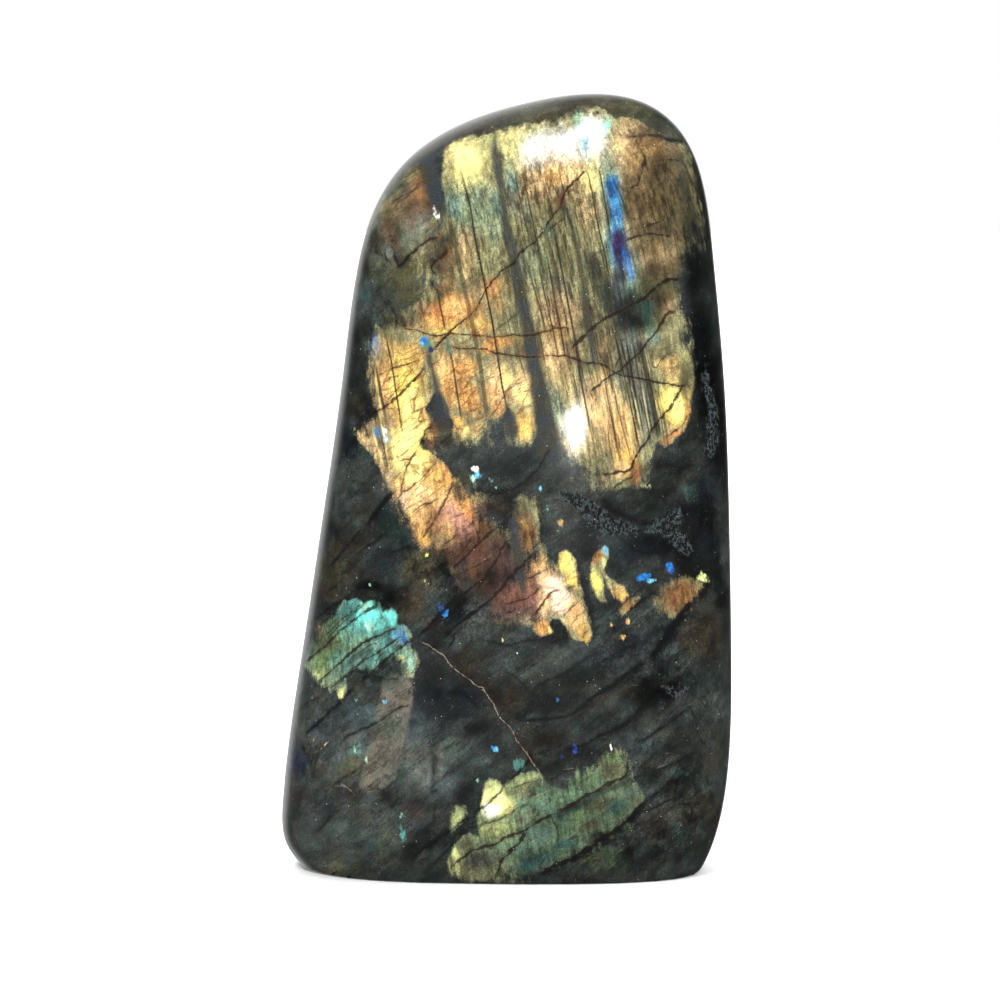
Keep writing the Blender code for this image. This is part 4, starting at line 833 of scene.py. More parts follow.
BACK_SPARKS = (
    ("azure", 560, 590, 5, 6, 0.9), ("sky", 566, 596, 3, 4, 0.8), ("aqua", 420, 610, 4, 6, 0.8),
    ("snow", 500, 560, 2, 3, 0.8), ("gold", 360, 480, 3, 5, 0.7), ("mint", 392, 640, 3, 4, 0.7),
    ("cobalt", 646, 690, 5, 5, 0.7), ("azure", 600, 690, 3, 4, 0.7), ("lime", 470, 530, 3, 4, 0.7),
    ("apricot", 650, 520, 4, 4, 0.6), ("sea", 520, 740, 5, 6, 0.6), ("snow", 434, 556, 2, 2, 0.8),
    ("sky", 380, 420, 3, 6, 0.6),
)
BACK_ROUGH = (
    ((590, 520, 2), (600, 528, 6), (616, 532, 7), (630, 528, 3)),
    ((400, 800, 2), (414, 806, 5), (430, 804, 3)),
)


# ---------------------------------------------------------------- shaping the stone


def closed_spline(points, samples):
    """Points along the smooth closed curve through points, whose curvature has no jumps."""
    after, before = np.roll(points, -1, 0), np.roll(points, 1, 0)
    span = np.linalg.norm(after - points, axis=1)
    last = np.roll(span, 1)
    rows = np.diag(2 * (span + last))
    for i in range(len(points)):
        rows[i, i - 1] += span[i]
        rows[i, (i + 1) % len(points)] += last[i]
    pull = 3 * ((span / last)[:, None] * (points - before) + (last / span)[:, None] * (after - points))
    slope = np.linalg.solve(rows, pull)
    t = np.linspace(0, 1, samples, endpoint=False)[None, :, None]
    start, end = points[:, None], after[:, None]
    leave, arrive = (slope * span[:, None])[:, None], (np.roll(slope, -1, 0) * span[:, None])[:, None]
    curve = (
        (2 * t**3 - 3 * t**2 + 1) * start
        + (t**3 - 2 * t**2 + t) * leave
        + (3 * t**2 - 2 * t**3) * end
        + (t**3 - t**2) * arrive
    )
    return curve.reshape(-1, 2)


def rim_reach(bearing):
    rim = closed_spline(np.array(OUTLINE) * (HALF_WIDTH, HEIGHT), SPAN_SAMPLES) - CORE
    around = np.arctan2(rim[:, 1], rim[:, 0])
    return np.interp(bearing, around, np.hypot(*rim.T), period=2 * math.pi)


def grind(points, normal, distance, softness):
    normal = np.array(normal) / np.linalg.norm(normal)
    over = (points - (CORE[0], 0, CORE[1])) @ normal - distance
    excess = softness * np.logaddexp(0, over / softness)
    return points - excess[:, None] * normal


def stone_surface(cube):
    """Carries points on the cube from -1 to 1 out to the surface of the whole stone, uncut."""
    x, y, z = cube.T
    share = np.maximum(np.abs(x), np.abs(z))
    bearing = np.arctan2(z * HEIGHT / 2, x * HALF_WIDTH)
    sides = (-SQUARENESS_BLEND, SQUARENESS_BLEND)
    side_square = np.interp(np.cos(bearing), sides, (LEFT_SQUARENESS, RIGHT_SQUARENESS))
    upward = np.clip(np.sin(bearing), 0, 1) ** 2
    square = side_square + (TOP_SQUARENESS - side_square) * upward
    corner = 0.5 ** (1 / square)
    on_face = np.abs(y) > 1 - TINY
    out = np.where(on_face, share * corner, (1 - np.abs(y * corner) ** square) ** (1 / square))
    through = np.where(on_face, (1 - out**square) ** (1 / square) * np.sign(y), y * corner)
    reach = rim_reach(bearing) * out
    side, height = CORE[0] + reach * np.cos(bearing), CORE[1] + reach * np.sin(bearing)
    depth = np.where(y < 0, FRONT_DEPTH, BACK_DEPTH) * (1 - TOP_THINNING * height / HEIGHT)
    points = np.stack((side, through * depth, height), axis=1)
    for normal, distance, softness in GROUND_FLATS:
        points = grind(points, normal, distance, softness)
    return points


def divided_cube(cuts):
    """A cube from -1 to 1 whose edges along x, y and z have that many cuts, and the front double."""
    bm = bmesh.new()
    bmesh.ops.create_cube(bm, size=2)
    for axis, count in enumerate(cuts):
        along = [e for e in bm.edges if abs((e.verts[0].co - e.verts[1].co).normalized()[axis]) > ALIGNED]
        bmesh.ops.subdivide_edges(bm, edges=along, cuts=count, use_grid_fill=True)
    front = [e for e in bm.edges if all(v.co.y < -1 + TINY for v in e.verts)]
    bmesh.ops.subdivide_edges(bm, edges=front, cuts=1, use_grid_fill=True)
    return bm


def saw_base(bm):
    everything = bm.verts[:] + bm.edges[:] + bm.faces[:]
    cut = bmesh.ops.bisect_plane(
        bm, geom=everything, dist=TINY, plane_co=(0, 0, 0), plane_no=(0, 0, -1), clear_outer=True
    )
    ring = [e for e in cut["geom_cut"] if isinstance(e, bmesh.types.BMEdge)]
    bmesh.ops.contextual_create(bm, geom=ring)
    bmesh.ops.bevel(bm, geom=ring, offset=BASE_EASE, affect="EDGES", segments=2, profile=0.5, material=-1)
    bmesh.ops.recalc_face_normals(bm, faces=bm.faces)


def centre_over_origin(bm):
    corners = np.array([v.co for v in bm.verts], float)
    middle = (corners.min(0) + corners.max(0)) / 2
    bmesh.ops.translate(bm, verts=bm.verts, vec=(-middle[0], -middle[1], 0))


# ---------------------------------------------------------------- placing marks on the view

LINE_TAPER = 0.6  # share of the first and last stretch over which a line fades in
LINE_FADE = 0.6  # share of its reach at which a line starts to fade out
FAR = 1.5  # distance given to places that no line reaches, in reaches
STRETCH_SAMPLES = 8  # samples along each stretch of a line

# Where the soft edge of each kind of mark starts and ends, as shares of its radius or half width.
WASH_EDGE = (0.35, 1.25)
BAND_EDGE = (0.10, 1.35)
PATCH_EDGE = (0.5, 1.15)
SPARK_EDGE = (0.3, 1.7)


def camera_axes():
    """Where the camera stands, and its right, up and forward directions."""
    back = np.array((0, -math.cos(VIEW_ELEVATION), math.sin(VIEW_ELEVATION)))
    right = np.array((1.0, 0, 0))
    return VIEW_TARGET + back * VIEW_DISTANCE, right, np.cross(back, right), -back


def view_places(points):
    """Where points show on the square view, in view units."""
    eye, right, up, forward = camera_axes()
    seen = points - eye
    ahead = seen @ forward
    across, above = seen @ right / ahead, seen @ up / ahead
    return np.stack((VIEW_MIDDLE[0] + VIEW_REACH * across, VIEW_MIDDLE[1] - VIEW_REACH * above), axis=1)


def nearest_on_path(places, path):
    """Distance to a path, side of it as +1 or -1, and how far along it, from 0 to its last point."""
    best = np.full(len(places), np.inf)
    side, along = np.ones(len(places)), np.zeros(len(places))
    for i, (start, end) in enumerate(zip(path[:-1], path[1:])):
        run = end - start
        rel = places - start
        t = np.clip(rel @ run / (run @ run), 0, 1)
        gap = rel - t[:, None] * run
        distance = np.hypot(*gap.T)
        closer = distance < best
        best = np.where(closer, distance, best)
        turn = run[0] * rel[:, 1] - run[1] * rel[:, 0]
        side = np.where(closer, np.where(turn < 0, -1, 1), side)
        along = np.where(closer, i + t, along)
    return best, side, along


def inside_outline(places, outline):
    """Signed distance to a closed outline, above 0 inside it."""
    loop = np.array(outline, float)
    path = np.vstack((loop, loop[:1]))
    distance = nearest_on_path(places, path)[0]
    crossings = np.zeros(len(places), int)
    for (x0, y0), (x1, y1) in zip(path[:-1], path[1:]):
        spans = (y0 > places[:, 1]) != (y1 > places[:, 1])
        with np.errstate(divide="ignore", invalid="ignore"):
            meets = places[:, 0] < (x1 - x0) * (places[:, 1] - y0) / (y1 - y0) + x0
        crossings += spans & meets
    return np.where(crossings % 2 == 1, distance, -distance)


def inside_band(places, band):
    """Signed distance to a band that follows points of x, y and half width, above 0 inside it."""
    points = np.array(band, float)
    distance, _, along = nearest_on_path(places, points[:, :2])
    return np.interp(along, range(len(points)), points[:, 2]) - distance


def smooth(value, low, high):
    t = np.clip((value - low) / (high - low), 0, 1)
    return t * t * (3 - 2 * t)


def deal_into_layers(lines, apart):
    """Sorts lines into layers in which no two come closer than apart, so each layer can be one field."""
    layers = []
    for line in lines:
        path = np.array(line[2], float)
        dense = np.concatenate([np.linspace(a, b, STRETCH_SAMPLES) for a, b in zip(path[:-1], path[1:])])
        for layer in layers:
            if all(nearest_on_path(dense, np.array(o[2], float))[0].min() > apart for o in layer):
                layer.append(line)
                break
        else:
            layers.append([line])
    return layers


def line_field(places, layer, reach):
    """For each place: signed distance to the layer's nearest line, its half width, its strength."""
    field = np.zeros((len(places), 3))
    best = np.full(len(places), FAR * reach)
    field[:, 0] = best
    for half_width, strength, points in layer:
        distance, side, along = nearest_on_path(places, np.array(points, float))
        closer = distance < best
        ends = np.minimum(along, len(points) - 1 - along)
        there = strength * smooth(ends, 0, LINE_TAPER) * (1 - smooth(distance, LINE_FADE * reach, reach))
        best = np.where(closer, distance, best)
        field[closer, 0] = (side * distance)[closer]
        field[closer, 1] = half_width
        field[closer, 2] = there[closer]
    return field


def inside_ellipse(places, x, y, across, along, edge):
    """1 inside an ellipse tilted with the twin planes, and 0 outside its soft edge."""
    level = np.array((math.cos(LAMELLA_TILT), -math.sin(LAMELLA_TILT)))
    lean = np.array((math.sin(LAMELLA_TILT), math.cos(LAMELLA_TILT)))
    rel = places - (x, y)
    return 1 - smooth(np.hypot(rel @ level / across, rel @ lean / along), *edge)


def lay_over(colour, cover, name):
    """Moves colours, in place, toward a named one by each one's cover."""
    colour += cover[:, None] * (np.array(COLOURS[name]) - colour)


def patch_field(places, patches):
    """How strongly each place lies in soft ellipses, where the strongest one counts."""
    cover = np.zeros(len(places))
    for *ellipse, strength in patches:
        there = strength * inside_ellipse(places, *ellipse, PATCH_EDGE)
        cover = np.where(np.abs(there) > np.abs(cover), there, cover)
    return cover


def spark_field(places, sparks):
    """Colour and cover of the small bright sparks."""
    colour, cover = np.zeros((len(places), 3)), np.zeros(len(places))
    for name, *ellipse, strength in sparks:
        there = strength * inside_ellipse(places, *ellipse, SPARK_EDGE)
        colour = np.where((there > cover)[:, None], COLOURS[name], colour)
        cover = np.maximum(cover, there)
    return np.column_stack((colour, cover))


def wander(points, size, reach, seed):
    """A smooth random shift of up to about reach, in two directions, that changes over size."""
    offset = Vector((seed, -seed, 2.0 * seed))
    shift = [noise.noise_vector(Vector(p) / size + offset) for p in points]
    return np.array(shift)[:, :2] * reach


# ---------------------------------------------------------------- writing marks on the mesh


class Side:
    """The marks of one side of the stone, worked out for every vertex as seen from the front.

    The back's marks are placed as if the stone were clear, so the twin planes run straight through.
    """

    def __init__(self, points, turned, marks):
        self.places = view_places(points * (1, -1 if turned else 1, 1))
        if turned:
            self.places += wander(points, size=7 * MM, reach=8, seed=1.3)
            self.places += wander(points, size=3 * MM, reach=4, seed=6.1)
        self.marks = marks
        self.points = points

    def flash_edge(self):
        edges = [inside_outline(self.places, p) / soft for soft, p in self.marks["patches"].values()]
        slow = [(*ellipse, width - 1) for *ellipse, width in self.marks["slow_edges"]]
        return np.max(edges, axis=0) / (1 + patch_field(self.places, slow))

    def vein_edge(self):
        return np.max([inside_band(self.places, v) for v in self.marks["veins"]], axis=0)

    def rough_edge(self):
        return np.max([inside_band(self.places, b) for b in self.marks["rough"]], axis=0)

    def patches(self, kind):
        return patch_field(self.places, self.marks[kind])

    def sparks(self):
        return spark_field(self.places, self.marks["sparks"])

    def colours(self, base, kind):
        """Washes, then bands, shades and panes of one kind, laid over a base colour."""
        colour = np.tile(np.array(COLOURS[base], float), (len(self.places), 1))
        moved = self.places + wander(self.points, size=6 * MM, reach=5, seed=3.1)
        moved += wander(self.points, size=2 * MM, reach=3.2, seed=8.7)
        for name, *ellipse, strength in self.marks[kind + "_washes"]:
            lay_over(colour, strength * inside_ellipse(moved, *ellipse, WASH_EDGE), name)
        for name, half_width, strength, points in self.marks.get(kind + "_bands", ()):
            distance = nearest_on_path((self.places + moved) / 2, np.array(points, float))[0]
            lay_over(colour, strength * (1 - smooth(distance / half_width, *BAND_EDGE)), name)
        for shadow in self.marks.get(kind + "_shades", ()):
            colour *= 1 - patch_field(moved, (shadow,))[:, None]
        for name, strength, softness, outline in self.marks.get(kind + "_panes", ()):
            lay_over(colour, strength * smooth(inside_outline(self.places, outline) / softness, -1, 1), name)
        return colour

    def lines(self, kind, layers, reach):
        """One field for each layer, with no line in those that aren't needed."""
        dealt = deal_into_layers(self.marks.get(kind, ()), LAYER_GAP * reach)
        if len(dealt) > layers:
            raise ValueError(f"{kind} needs {len(dealt)} layers and has {layers}")
        dealt += [[]] * (layers - len(dealt))
        moved = self.places
        if kind == "cracks":
            moved = moved + wander(self.points, size=5 * MM, reach=1.6, seed=5.5)
        return [line_field(moved, layer, reach) for layer in dealt]


FRONT_MARKS = {
    "patches": FLASH_PATCHES,
    "veins": VEINS,
    "lamellae": LAMELLAE,
    "pale_lines": PALE_LINES,
    "seams": SEAMS,
    "cracks": CRACKS,
    "flash_washes": FLASH_WASHES,
    "flash_bands": FLASH_BANDS,
    "flash_shades": FLASH_SHADES,
    "slow_edges": SLOW_EDGES,
    "dull_washes": DULL_WASHES,
    "dull_bands": DULL_BANDS,
    "dull_shades": DULL_SHADES,
    "dull_panes": DULL_PANES,
    "sparks": SPARKS,
    "rough": ROUGH_INCLUSION,
    "hairlines": HAIRLINES,
    "capillaries": CAPILLARIES,
    "splits": SPLITS,
}
BACK_MARKS = {
    "patches": BACK_PATCHES,
    "veins": BACK_VEINS,
    "lamellae": BACK_LAMELLAE,
    "cracks": BACK_CRACKS,
    "flash_washes": BACK_WASHES,
    "flash_shades": BACK_SHADES,
    "slow_edges": ((520, 500, 120, 50, 4), (420, 320, 20, 80, 5), (600, 300, 20, 90, 4)),
    "dull_washes": BACK_DULL_WASHES,
    "dull_bands": BACK_DULL_BANDS,
    "sparks": BACK_SPARKS,
    "rough": BACK_ROUGH,
    "hairlines": ((500, 340, 110, 160, 0.8), (410, 724, 60, 50, 0.5)),
    "capillaries": ((590, 480, 60, 80, 0.5), (620, 600, 50, 60, 0.8)),
    "splits": ((500, 480, 400, 600, 0.8),),
}

# Layers for each kind of line, and the view units from a line to where its layer forgets it.
LINES = {"cracks": (7, 6.0), "lamellae": (4, 4.0), "pale_lines": (3, 4.0), "seams": (2, 4.0)}
LAYER_GAP = 2.2  # how far apart the lines of a layer stay, in those reaches

SIDES_BLEND = 5 * MM  # depth each way from the rim's plane over which front and back marks blend

# How far the surface faces front or back where the rim's own look ends, and where lines begin.
RIM_TURN = (0.02, 0.30)
LINE_TURN = (0.03, 0.30)
RIM_SPLITS = 0.85  # how strongly loose cracks show at the rim
RIM_SMOKE = 0.75  # how far the rim's dull colour goes to smoke
NOISE_SEED = 1  # without one, the marks would drift another way each time


def write_number(mesh, name, values):
    mesh.attributes.new(name, "FLOAT", "POINT").data.foreach_set("value", np.asarray(values, np.float32))


def write_triple(mesh, name, values):
    flat = np.asarray(values, np.float32).ravel()
    mesh.attributes.new(name, "FLOAT_VECTOR", "POINT").data.foreach_set("vector", flat)


def points_and_normals(mesh):
    count = len(mesh.vertices)
    points, normals = np.zeros(count * 3), np.zeros(count * 3)
    mesh.vertices.foreach_get("co", points)
    mesh.vertex_normals.foreach_get("vector", normals)
    return points.reshape(-1, 3), normals.reshape(-1, 3)


def mark_stone(mesh):
    """Gives every vertex the marks of the side that it faces."""
    noise.seed_set(NOISE_SEED)
    points, normals = points_and_normals(mesh)
    on_front = points[:, 1] < 0
    front_share = smooth(-points[:, 1], -SIDES_BLEND, SIDES_BLEND)
    front, back = Side(points, False, FRONT_MARKS), Side(points, True, BACK_MARKS)

    def choose(work):
        first, second = work(front), work(back)
        share = front_share if first.ndim == 1 else front_share[:, None]
        return first * share + second * (1 - share)

    facing = np.abs(normals[:, 1])
    at_rim = 1 - smooth(facing, *RIM_TURN)
    write_number(mesh, "facing", facing)
    write_number(mesh, "flash_edge", choose(Side.flash_edge))
    write_number(mesh, "vein_edge", choose(Side.vein_edge))
    write_number(mesh, "rough_edge", choose(Side.rough_edge))
    write_number(mesh, "hairlines", choose(lambda side: side.patches("hairlines")))
    write_number(mesh, "capillaries", choose(lambda side: side.patches("capillaries")))
    splits = choose(lambda side: side.patches("splits"))
    write_number(mesh, "splits", np.maximum(splits, RIM_SPLITS * at_rim))
    write_triple(mesh, "flash_colour", choose(lambda side: side.colours("khaki", "flash")))
    dull = choose(lambda side: side.colours("smoke", "dull"))
    lay_over(dull, RIM_SMOKE * at_rim, "smoke")
    write_triple(mesh, "dull_colour", dull)
    spark = choose(Side.sparks)
    write_triple(mesh, "spark_colour", spark[:, :3])
    write_number(mesh, "spark_cover", spark[:, 3])
    line_fade = smooth(facing, *LINE_TURN)
    for kind, (layers, reach) in LINES.items():
        fronts, backs = front.lines(kind, layers, reach), back.lines(kind, layers, reach)
        for i, (first, second) in enumerate(zip(fronts, backs)):
            field = np.where(on_front[:, None], first, second)
            field[:, 2] *= line_fade
            write_triple(mesh, f"{kind}_{i}", field)


# ---------------------------------------------------------------- finish of the stone

TWIN_TURN = (0.0, -LAMELLA_TILT, LAMELLA_DIP)
FRACTURE_TURN = (0.0, math.radians(-40), 0.0)
BEND_SIZE = 1.6 * MM  # how far apart the bends in the edges of a net are

# View units over which a line fades out past its edge, and its halo past its middle.
CORE_EDGE = (-0.55, 0.5)
HALO_EDGE = (0.8, 4.6)

BODY_ROUGHNESS = 0.34  # of the stone under its polish
BODY_SPECULAR = 0.2
BUMP_DEPTH = 0.12 * MM
BUMP_STRENGTH = 0.5


class Wire:
    """A value on its way through a material's nodes. Sums on wires add Math nodes."""

    def __init__(self, tree, socket):
        self.tree = tree
        self.socket = socket

    def maths(self, operation, *values):
        node = self.tree.nodes.new("ShaderNodeMath")
        node.operation = operation
        for slot, value in zip(node.inputs, values):
            connect(self.tree, slot, value)
        return Wire(self.tree, node.outputs[0])

    def __add__(self, other):
        return self.maths("ADD", self, other)

    def __sub__(self, other):
        return self.maths("SUBTRACT", self, other)

    def __rsub__(self, other):
        return self.maths("SUBTRACT", other, self)

    def __mul__(self, other):
        return self.maths("MULTIPLY", self, other)

    def __pow__(self, other):
        return self.maths("POWER", self, other)

    def __abs__(self):
        return self.maths("ABSOLUTE", self)

    __radd__ = __add__
    __rmul__ = __mul__

    def most(self, other):
        return self.maths("MAXIMUM", self, other)


def connect(tree, slot, value):
    """Links a wire to a socket, or sets the socket's own value."""
    if isinstance(value, Wire):
        tree.links.new(value.socket, slot)
    elif slot.type == "RGBA":
        slot.default_value = (*value, 1.0)
    else:
        slot.default_value = value


class Recipe:
    """A node tree under construction."""

    def __init__(self, tree):
        self.tree = tree

    def node(self, kind, settings, sockets, output=0):
        """Adds a node: its settings first, then the values or wires of its sockets."""
        node = self.tree.nodes.new(kind)
        for name, value in settings.items():
            setattr(node, name, value)
        for name, value in sockets.items():
            connect(self.tree, node.inputs[name], value)
        return Wire(self.tree, node.outputs[output])

    def parts(self, vector):
        node = self.tree.nodes.new("ShaderNodeSeparateXYZ")
        connect(self.tree, node.inputs[0], vector)
        return [Wire(self.tree, socket) for socket in node.outputs]

    def ramp(self, value, low, high, start=0.0, end=1.0):
        """Follows value smoothly from start at low to end at high."""
        sockets = {"Value": value, "From Min": low, "From Max": high, "To Min": start, "To Max": end}
        return self.node("ShaderNodeMapRange", {"interpolation_type": "SMOOTHSTEP"}, sockets)

    def blend(self, share, first, second, how="MIX"):
        """Mixes two colours."""
        settings = {"data_type": "RGBA", "blend_type": how}
        return self.node("ShaderNodeMix", settings, {0: share, 6: first, 7: second}, 2)


class Finish(Recipe):
    """A material under construction."""

    def __init__(self, name):
        self.material = bpy.data.materials.new(name)
        self.material.use_nodes = True
        super().__init__(self.material.node_tree)
        self.shader = self.tree.nodes["Principled BSDF"]

    def number(self, attribute):
        return self.node("ShaderNodeAttribute", {"attribute_name": attribute}, {}, "Fac")

    def triple(self, attribute):
        return self.node("ShaderNodeAttribute", {"attribute_name": attribute}, {}, "Vector")

    def place(self):
        return self.node("ShaderNodeTexCoord", {}, {}, "Object")

    def fitted(self, place, sizes=(1.0,) * 3, turned=(0.0,) * 3, shift=0.0):
        """A place as shares of sizes, in metres, along the turned axes."""
        sockets = {"Vector": place, "Location": (shift,) * 3, "Rotation": turned, "Scale": sizes}
        return self.node("ShaderNodeMapping", {"vector_type": "TEXTURE"}, sockets)

    def grain(self, sizes, detail=2.0, roughness=0.5, turned=(0.0,) * 3, shift=0.0):
        """Noise whose grains measure sizes along the turned axes."""
        fitted = self.fitted(self.place(), sizes, turned, shift)
        sockets = {"Vector": fitted, "Scale": 1.0, "Detail": detail, "Roughness": roughness}
        return self.node("ShaderNodeTexNoise", {}, sockets)

    def net(self, sizes, turned, bend, shift):
        """Distance to the edges of cells that measure sizes along the turned axes, bent by noise."""
        place = self.place()
        waves = {"Vector": place, "Scale": 1 / BEND_SIZE, "Detail": 2.0}
        drift = self.node("ShaderNodeTexNoise", {}, waves, "Color")
        pushed = {0: drift, 1: (bend,) * 3, 2: place}
        bent = self.node("ShaderNodeVectorMath", {"operation": "MULTIPLY_ADD"}, pushed)
        sockets = {"Vector": self.fitted(bent, sizes, turned, shift), "Scale": 1.0}
        return self.node("ShaderNodeTexVoronoi", {"feature": "DISTANCE_TO_EDGE"}, sockets)

    def cells(self, size, shift):
        """Distance to the nearest of points scattered about size apart."""
        sockets = {"Vector": self.fitted(self.place(), shift=shift), "Scale": 1 / size}
        return self.node("ShaderNodeTexVoronoi", {"feature": "F1"}, sockets)


def line_covers(finish, kind, sway, swell=1.0):
    """How much lines of one kind cover, and how much the soft halo round them does."""
    cores, halos = [], []
    for layer in range(LINES[kind][0]):
        distance, half_width, strength = finish.parts(finish.triple(f"{kind}_{layer}"))
        away = abs(distance + sway)
        cores.append(finish.ramp(away - half_width * swell, *CORE_EDGE, 1.0, 0.0) * strength)
        halos.append(finish.ramp(away, *HALO_EDGE, 1.0, 0.0) * strength)
    return reduce(Wire.most, cores), reduce(Wire.most, halos)


def shade(finish, colour, brightness):
    """Makes a colour lighter or darker by a wire that is 1 where it stays as it is."""
    sockets = {"Red": brightness, "Green": brightness, "Blue": brightness}
    grey = finish.node("ShaderNodeCombineColor", {}, sockets)
    return finish.blend(1.0, colour, grey, "MULTIPLY")


def stone_finish(look):
    """Dark polished feldspar with flash that follows the marks written on the mesh."""
    finish = Finish("polished_labradorite_finish")
    ramp, blend, grain = finish.ramp, finish.blend, finish.grain

    # Grains shared by several marks, from fine to broad.
    grit = grain((0.30 * MM,) * 3, 1.0, 0.6, shift=0.3)
    sand = grain((0.62 * MM, 0.62 * MM, 0.9 * MM), 2.0, 0.6, shift=1.9)
    hair = grain((0.42 * MM, 0.6 * MM, 30 * MM), 2.0, 0.55, TWIN_TURN)
    streak = grain((0.95 * MM, 1.4 * MM, 60 * MM), 3.0, 0.6, TWIN_TURN, 0.2)
    flame = grain((1.2 * MM, 1.2 * MM, 4.5 * MM), 3.0, 0.6, TWIN_TURN, 0.5)
    mottle = grain((2.2 * MM,) * 3, 4.0, 0.62, shift=0.9)
    clouds = grain((6.5 * MM, 6.5 * MM, 5 * MM), 4.0, 0.6, shift=0.1)
    splinter = grain((6.0 * MM, 1.5 * MM, 0.9 * MM), 3.0, 0.6, FRACTURE_TURN, 0.6)
    slab = grain((16 * MM, 6 * MM, 3.2 * MM), 3.0, 0.6, FRACTURE_TURN, 2.2)
    net = finish.net((3.2 * MM, 2.0 * MM, 1.4 * MM), FRACTURE_TURN, 0.9 * MM, 0.4)
    wide = finish.net((13.0 * MM, 6.0 * MM, 2.6 * MM), FRACTURE_TURN, 1.1 * MM, 1.4)
    facing = finish.number("facing")

    # Dull stone: clouds, splintery cleavage, twin streaks, salt and pepper.
    dull = finish.triple("dull_colour")
    level = 0.34 + ramp(clouds, 0.34, 0.66) * 0.62 + ramp(mottle, 0.32, 0.68) * 0.42
    level = level * (0.62 + ramp(slab, 0.32, 0.56) * 0.50) * (0.86 + ramp(splinter, 0.38, 0.58) * 0.18)
    level = level * (0.70 + ramp(grit, 0.28, 0.74) * 0.56) * (0.74 + ramp(sand, 0.30, 0.70) * 0.48)
    broken = finish.number("splits")
    level = 0.92 + (level - 0.92) * (0.50 + broken * 0.80)
    dull = shade(finish, dull, level.most(0.06) * look.dull_gain)
    tint = grain((10 * MM, 10 * MM, 7 * MM), 3.0, 0.6, shift=3.4)
    dull = blend(ramp(tint, 0.50, 0.62), dull, blend(1.0, dull, (1.06, 1.0, 0.90), "MULTIPLY"))
    dull = blend(ramp(tint, 0.48, 0.36), dull, blend(1.0, dull, (0.84, 1.03, 1.0), "MULTIPLY"))
    breaks = ramp(mottle, 0.45, 0.55) * ramp(grain((5 * MM,) * 3, 2.0, shift=4.1), 0.42, 0.54) * broken
    split = ramp(wide, 0.036, 0.010) * breaks
    soft_split = ramp(wide, 0.15, 0.02) * breaks
    gap = ramp(abs(splinter - 0.47), 0.022, 0.004) * ramp(slab, 0.54, 0.42)
    gap = gap.most(ramp(abs(slab - 0.46), 0.012, 0.003)) * 0.6
    dull = blend(soft_split * 0.34, dull, COLOURS["pitch"])
    dull = blend(gap.most(split * 0.85), dull, COLOURS["pitch"])
    salt = ramp(grit, 0.68, 0.76) * ramp(mottle, 0.40, 0.60)
    dull = blend(salt * 0.5, dull, COLOURS["pewter"])

    # Flash: its edge frays along the twin planes.
    fray = (mottle - 0.5) * 4.0 + (flame - 0.5) * 5.0 + (grit - 0.5) * 1.6
    turned_away = ramp(facing, 0.34, 0.12, 0.0, 30.0)
    flash_cover = ramp(finish.number("flash_edge") + fray - turned_away, -1.5, 1.6)
    flash = finish.triple("flash_colour")
    hairlines = finish.number("hairlines")
    twinned = ramp(hair, 0.30, 0.60) * 0.42 + ramp(streak, 0.30, 0.66) * 0.50
    glow = 0.97 + (twinned - 0.61) * (0.42 + hairlines * 0.66)
    glow = glow * (0.66 + ramp(flame, 0.28, 0.62) * 0.44) * (0.72 + ramp(clouds, 0.30, 0.62) * 0.36)
    glow = glow * (0.78 + ramp(grit, 0.28, 0.72) * 0.40) * (0.82 + ramp(sand, 0.30, 0.66) * 0.32)
    # Bright flash keeps little texture, so the painted highlight along the crest stays a smooth bright band.
    bright = ramp(finish.parts(flash)[1], 0.40, 0.86)
    glow = glow + (1.02 - glow) * bright * 0.68
    flash = shade(finish, flash, glow**1.35 * 1.04 * look.flash_gain)

    # Hairlines along the twin planes, and capillaries that branch through the gold.
    fine_line = ramp(abs(hair - 0.47), 0.055, 0.015) * ramp(streak, 0.64, 0.38)
    flash = blend(fine_line * hairlines * 0.88, flash, COLOURS["soot"])
    broad_line = ramp(streak, 0.43, 0.34) * ramp(clouds, 0.38, 0.56)
    flash = blend(broad_line * hairlines * 0.70, flash, COLOURS["umber"])
    capillary = ramp(net, 0.060, 0.012) * ramp(mottle, 0.42, 0.58) * 0.8
    capillary = capillary.most(ramp(wide, 0.045, 0.010) * ramp(flame, 0.40, 0.52))
    rusted = finish.number("capillaries")
    flash = blend(soft_split * 0.34, flash, COLOURS["umber"])
    flash = blend(split * 0.70, flash, COLOURS["soot"])
    flash = blend(capillary * rusted * 0.72, flash, COLOURS["rust"])
    splinters = ramp(abs(splinter - 0.45), 0.026, 0.006) * ramp(clouds, 0.45, 0.60)
    flash = blend(splinters * 0.55, flash, COLOURS["umber"])
    colour = blend(flash_cover, dull, flash)

    # Broad twin planes.
    vein_cover = ramp(finish.number("vein_edge") + (flame - 0.5) * 8.0 + (sand - 0.5) * 4.0, -2.8, 2.8)
    vein_colour = blend(ramp(clouds, 0.40, 0.60), COLOURS["shadow"], COLOURS["dusk"])
    vein_colour = shade(finish, vein_colour, 0.55 + ramp(grit, 0.30, 0.72) * 0.45)
    colour = blend(vein_cover * 0.9, colour, vein_colour)

    # Thin twin lines.
    quiver = (sand - 0.5) * 1.2
    dark_line, _ = line_covers(finish, "lamellae", quiver)
    colour = blend(dark_line * ramp(flame, 0.30, 0.46, 0.62, 1.0), colour, COLOURS["soot"])
    pale_line, _ = line_covers(finish, "pale_lines", quiver)
    colour = blend(pale_line * ramp(flame, 0.34, 0.56, 0.1, 0.65), colour, COLOURS["butter"])

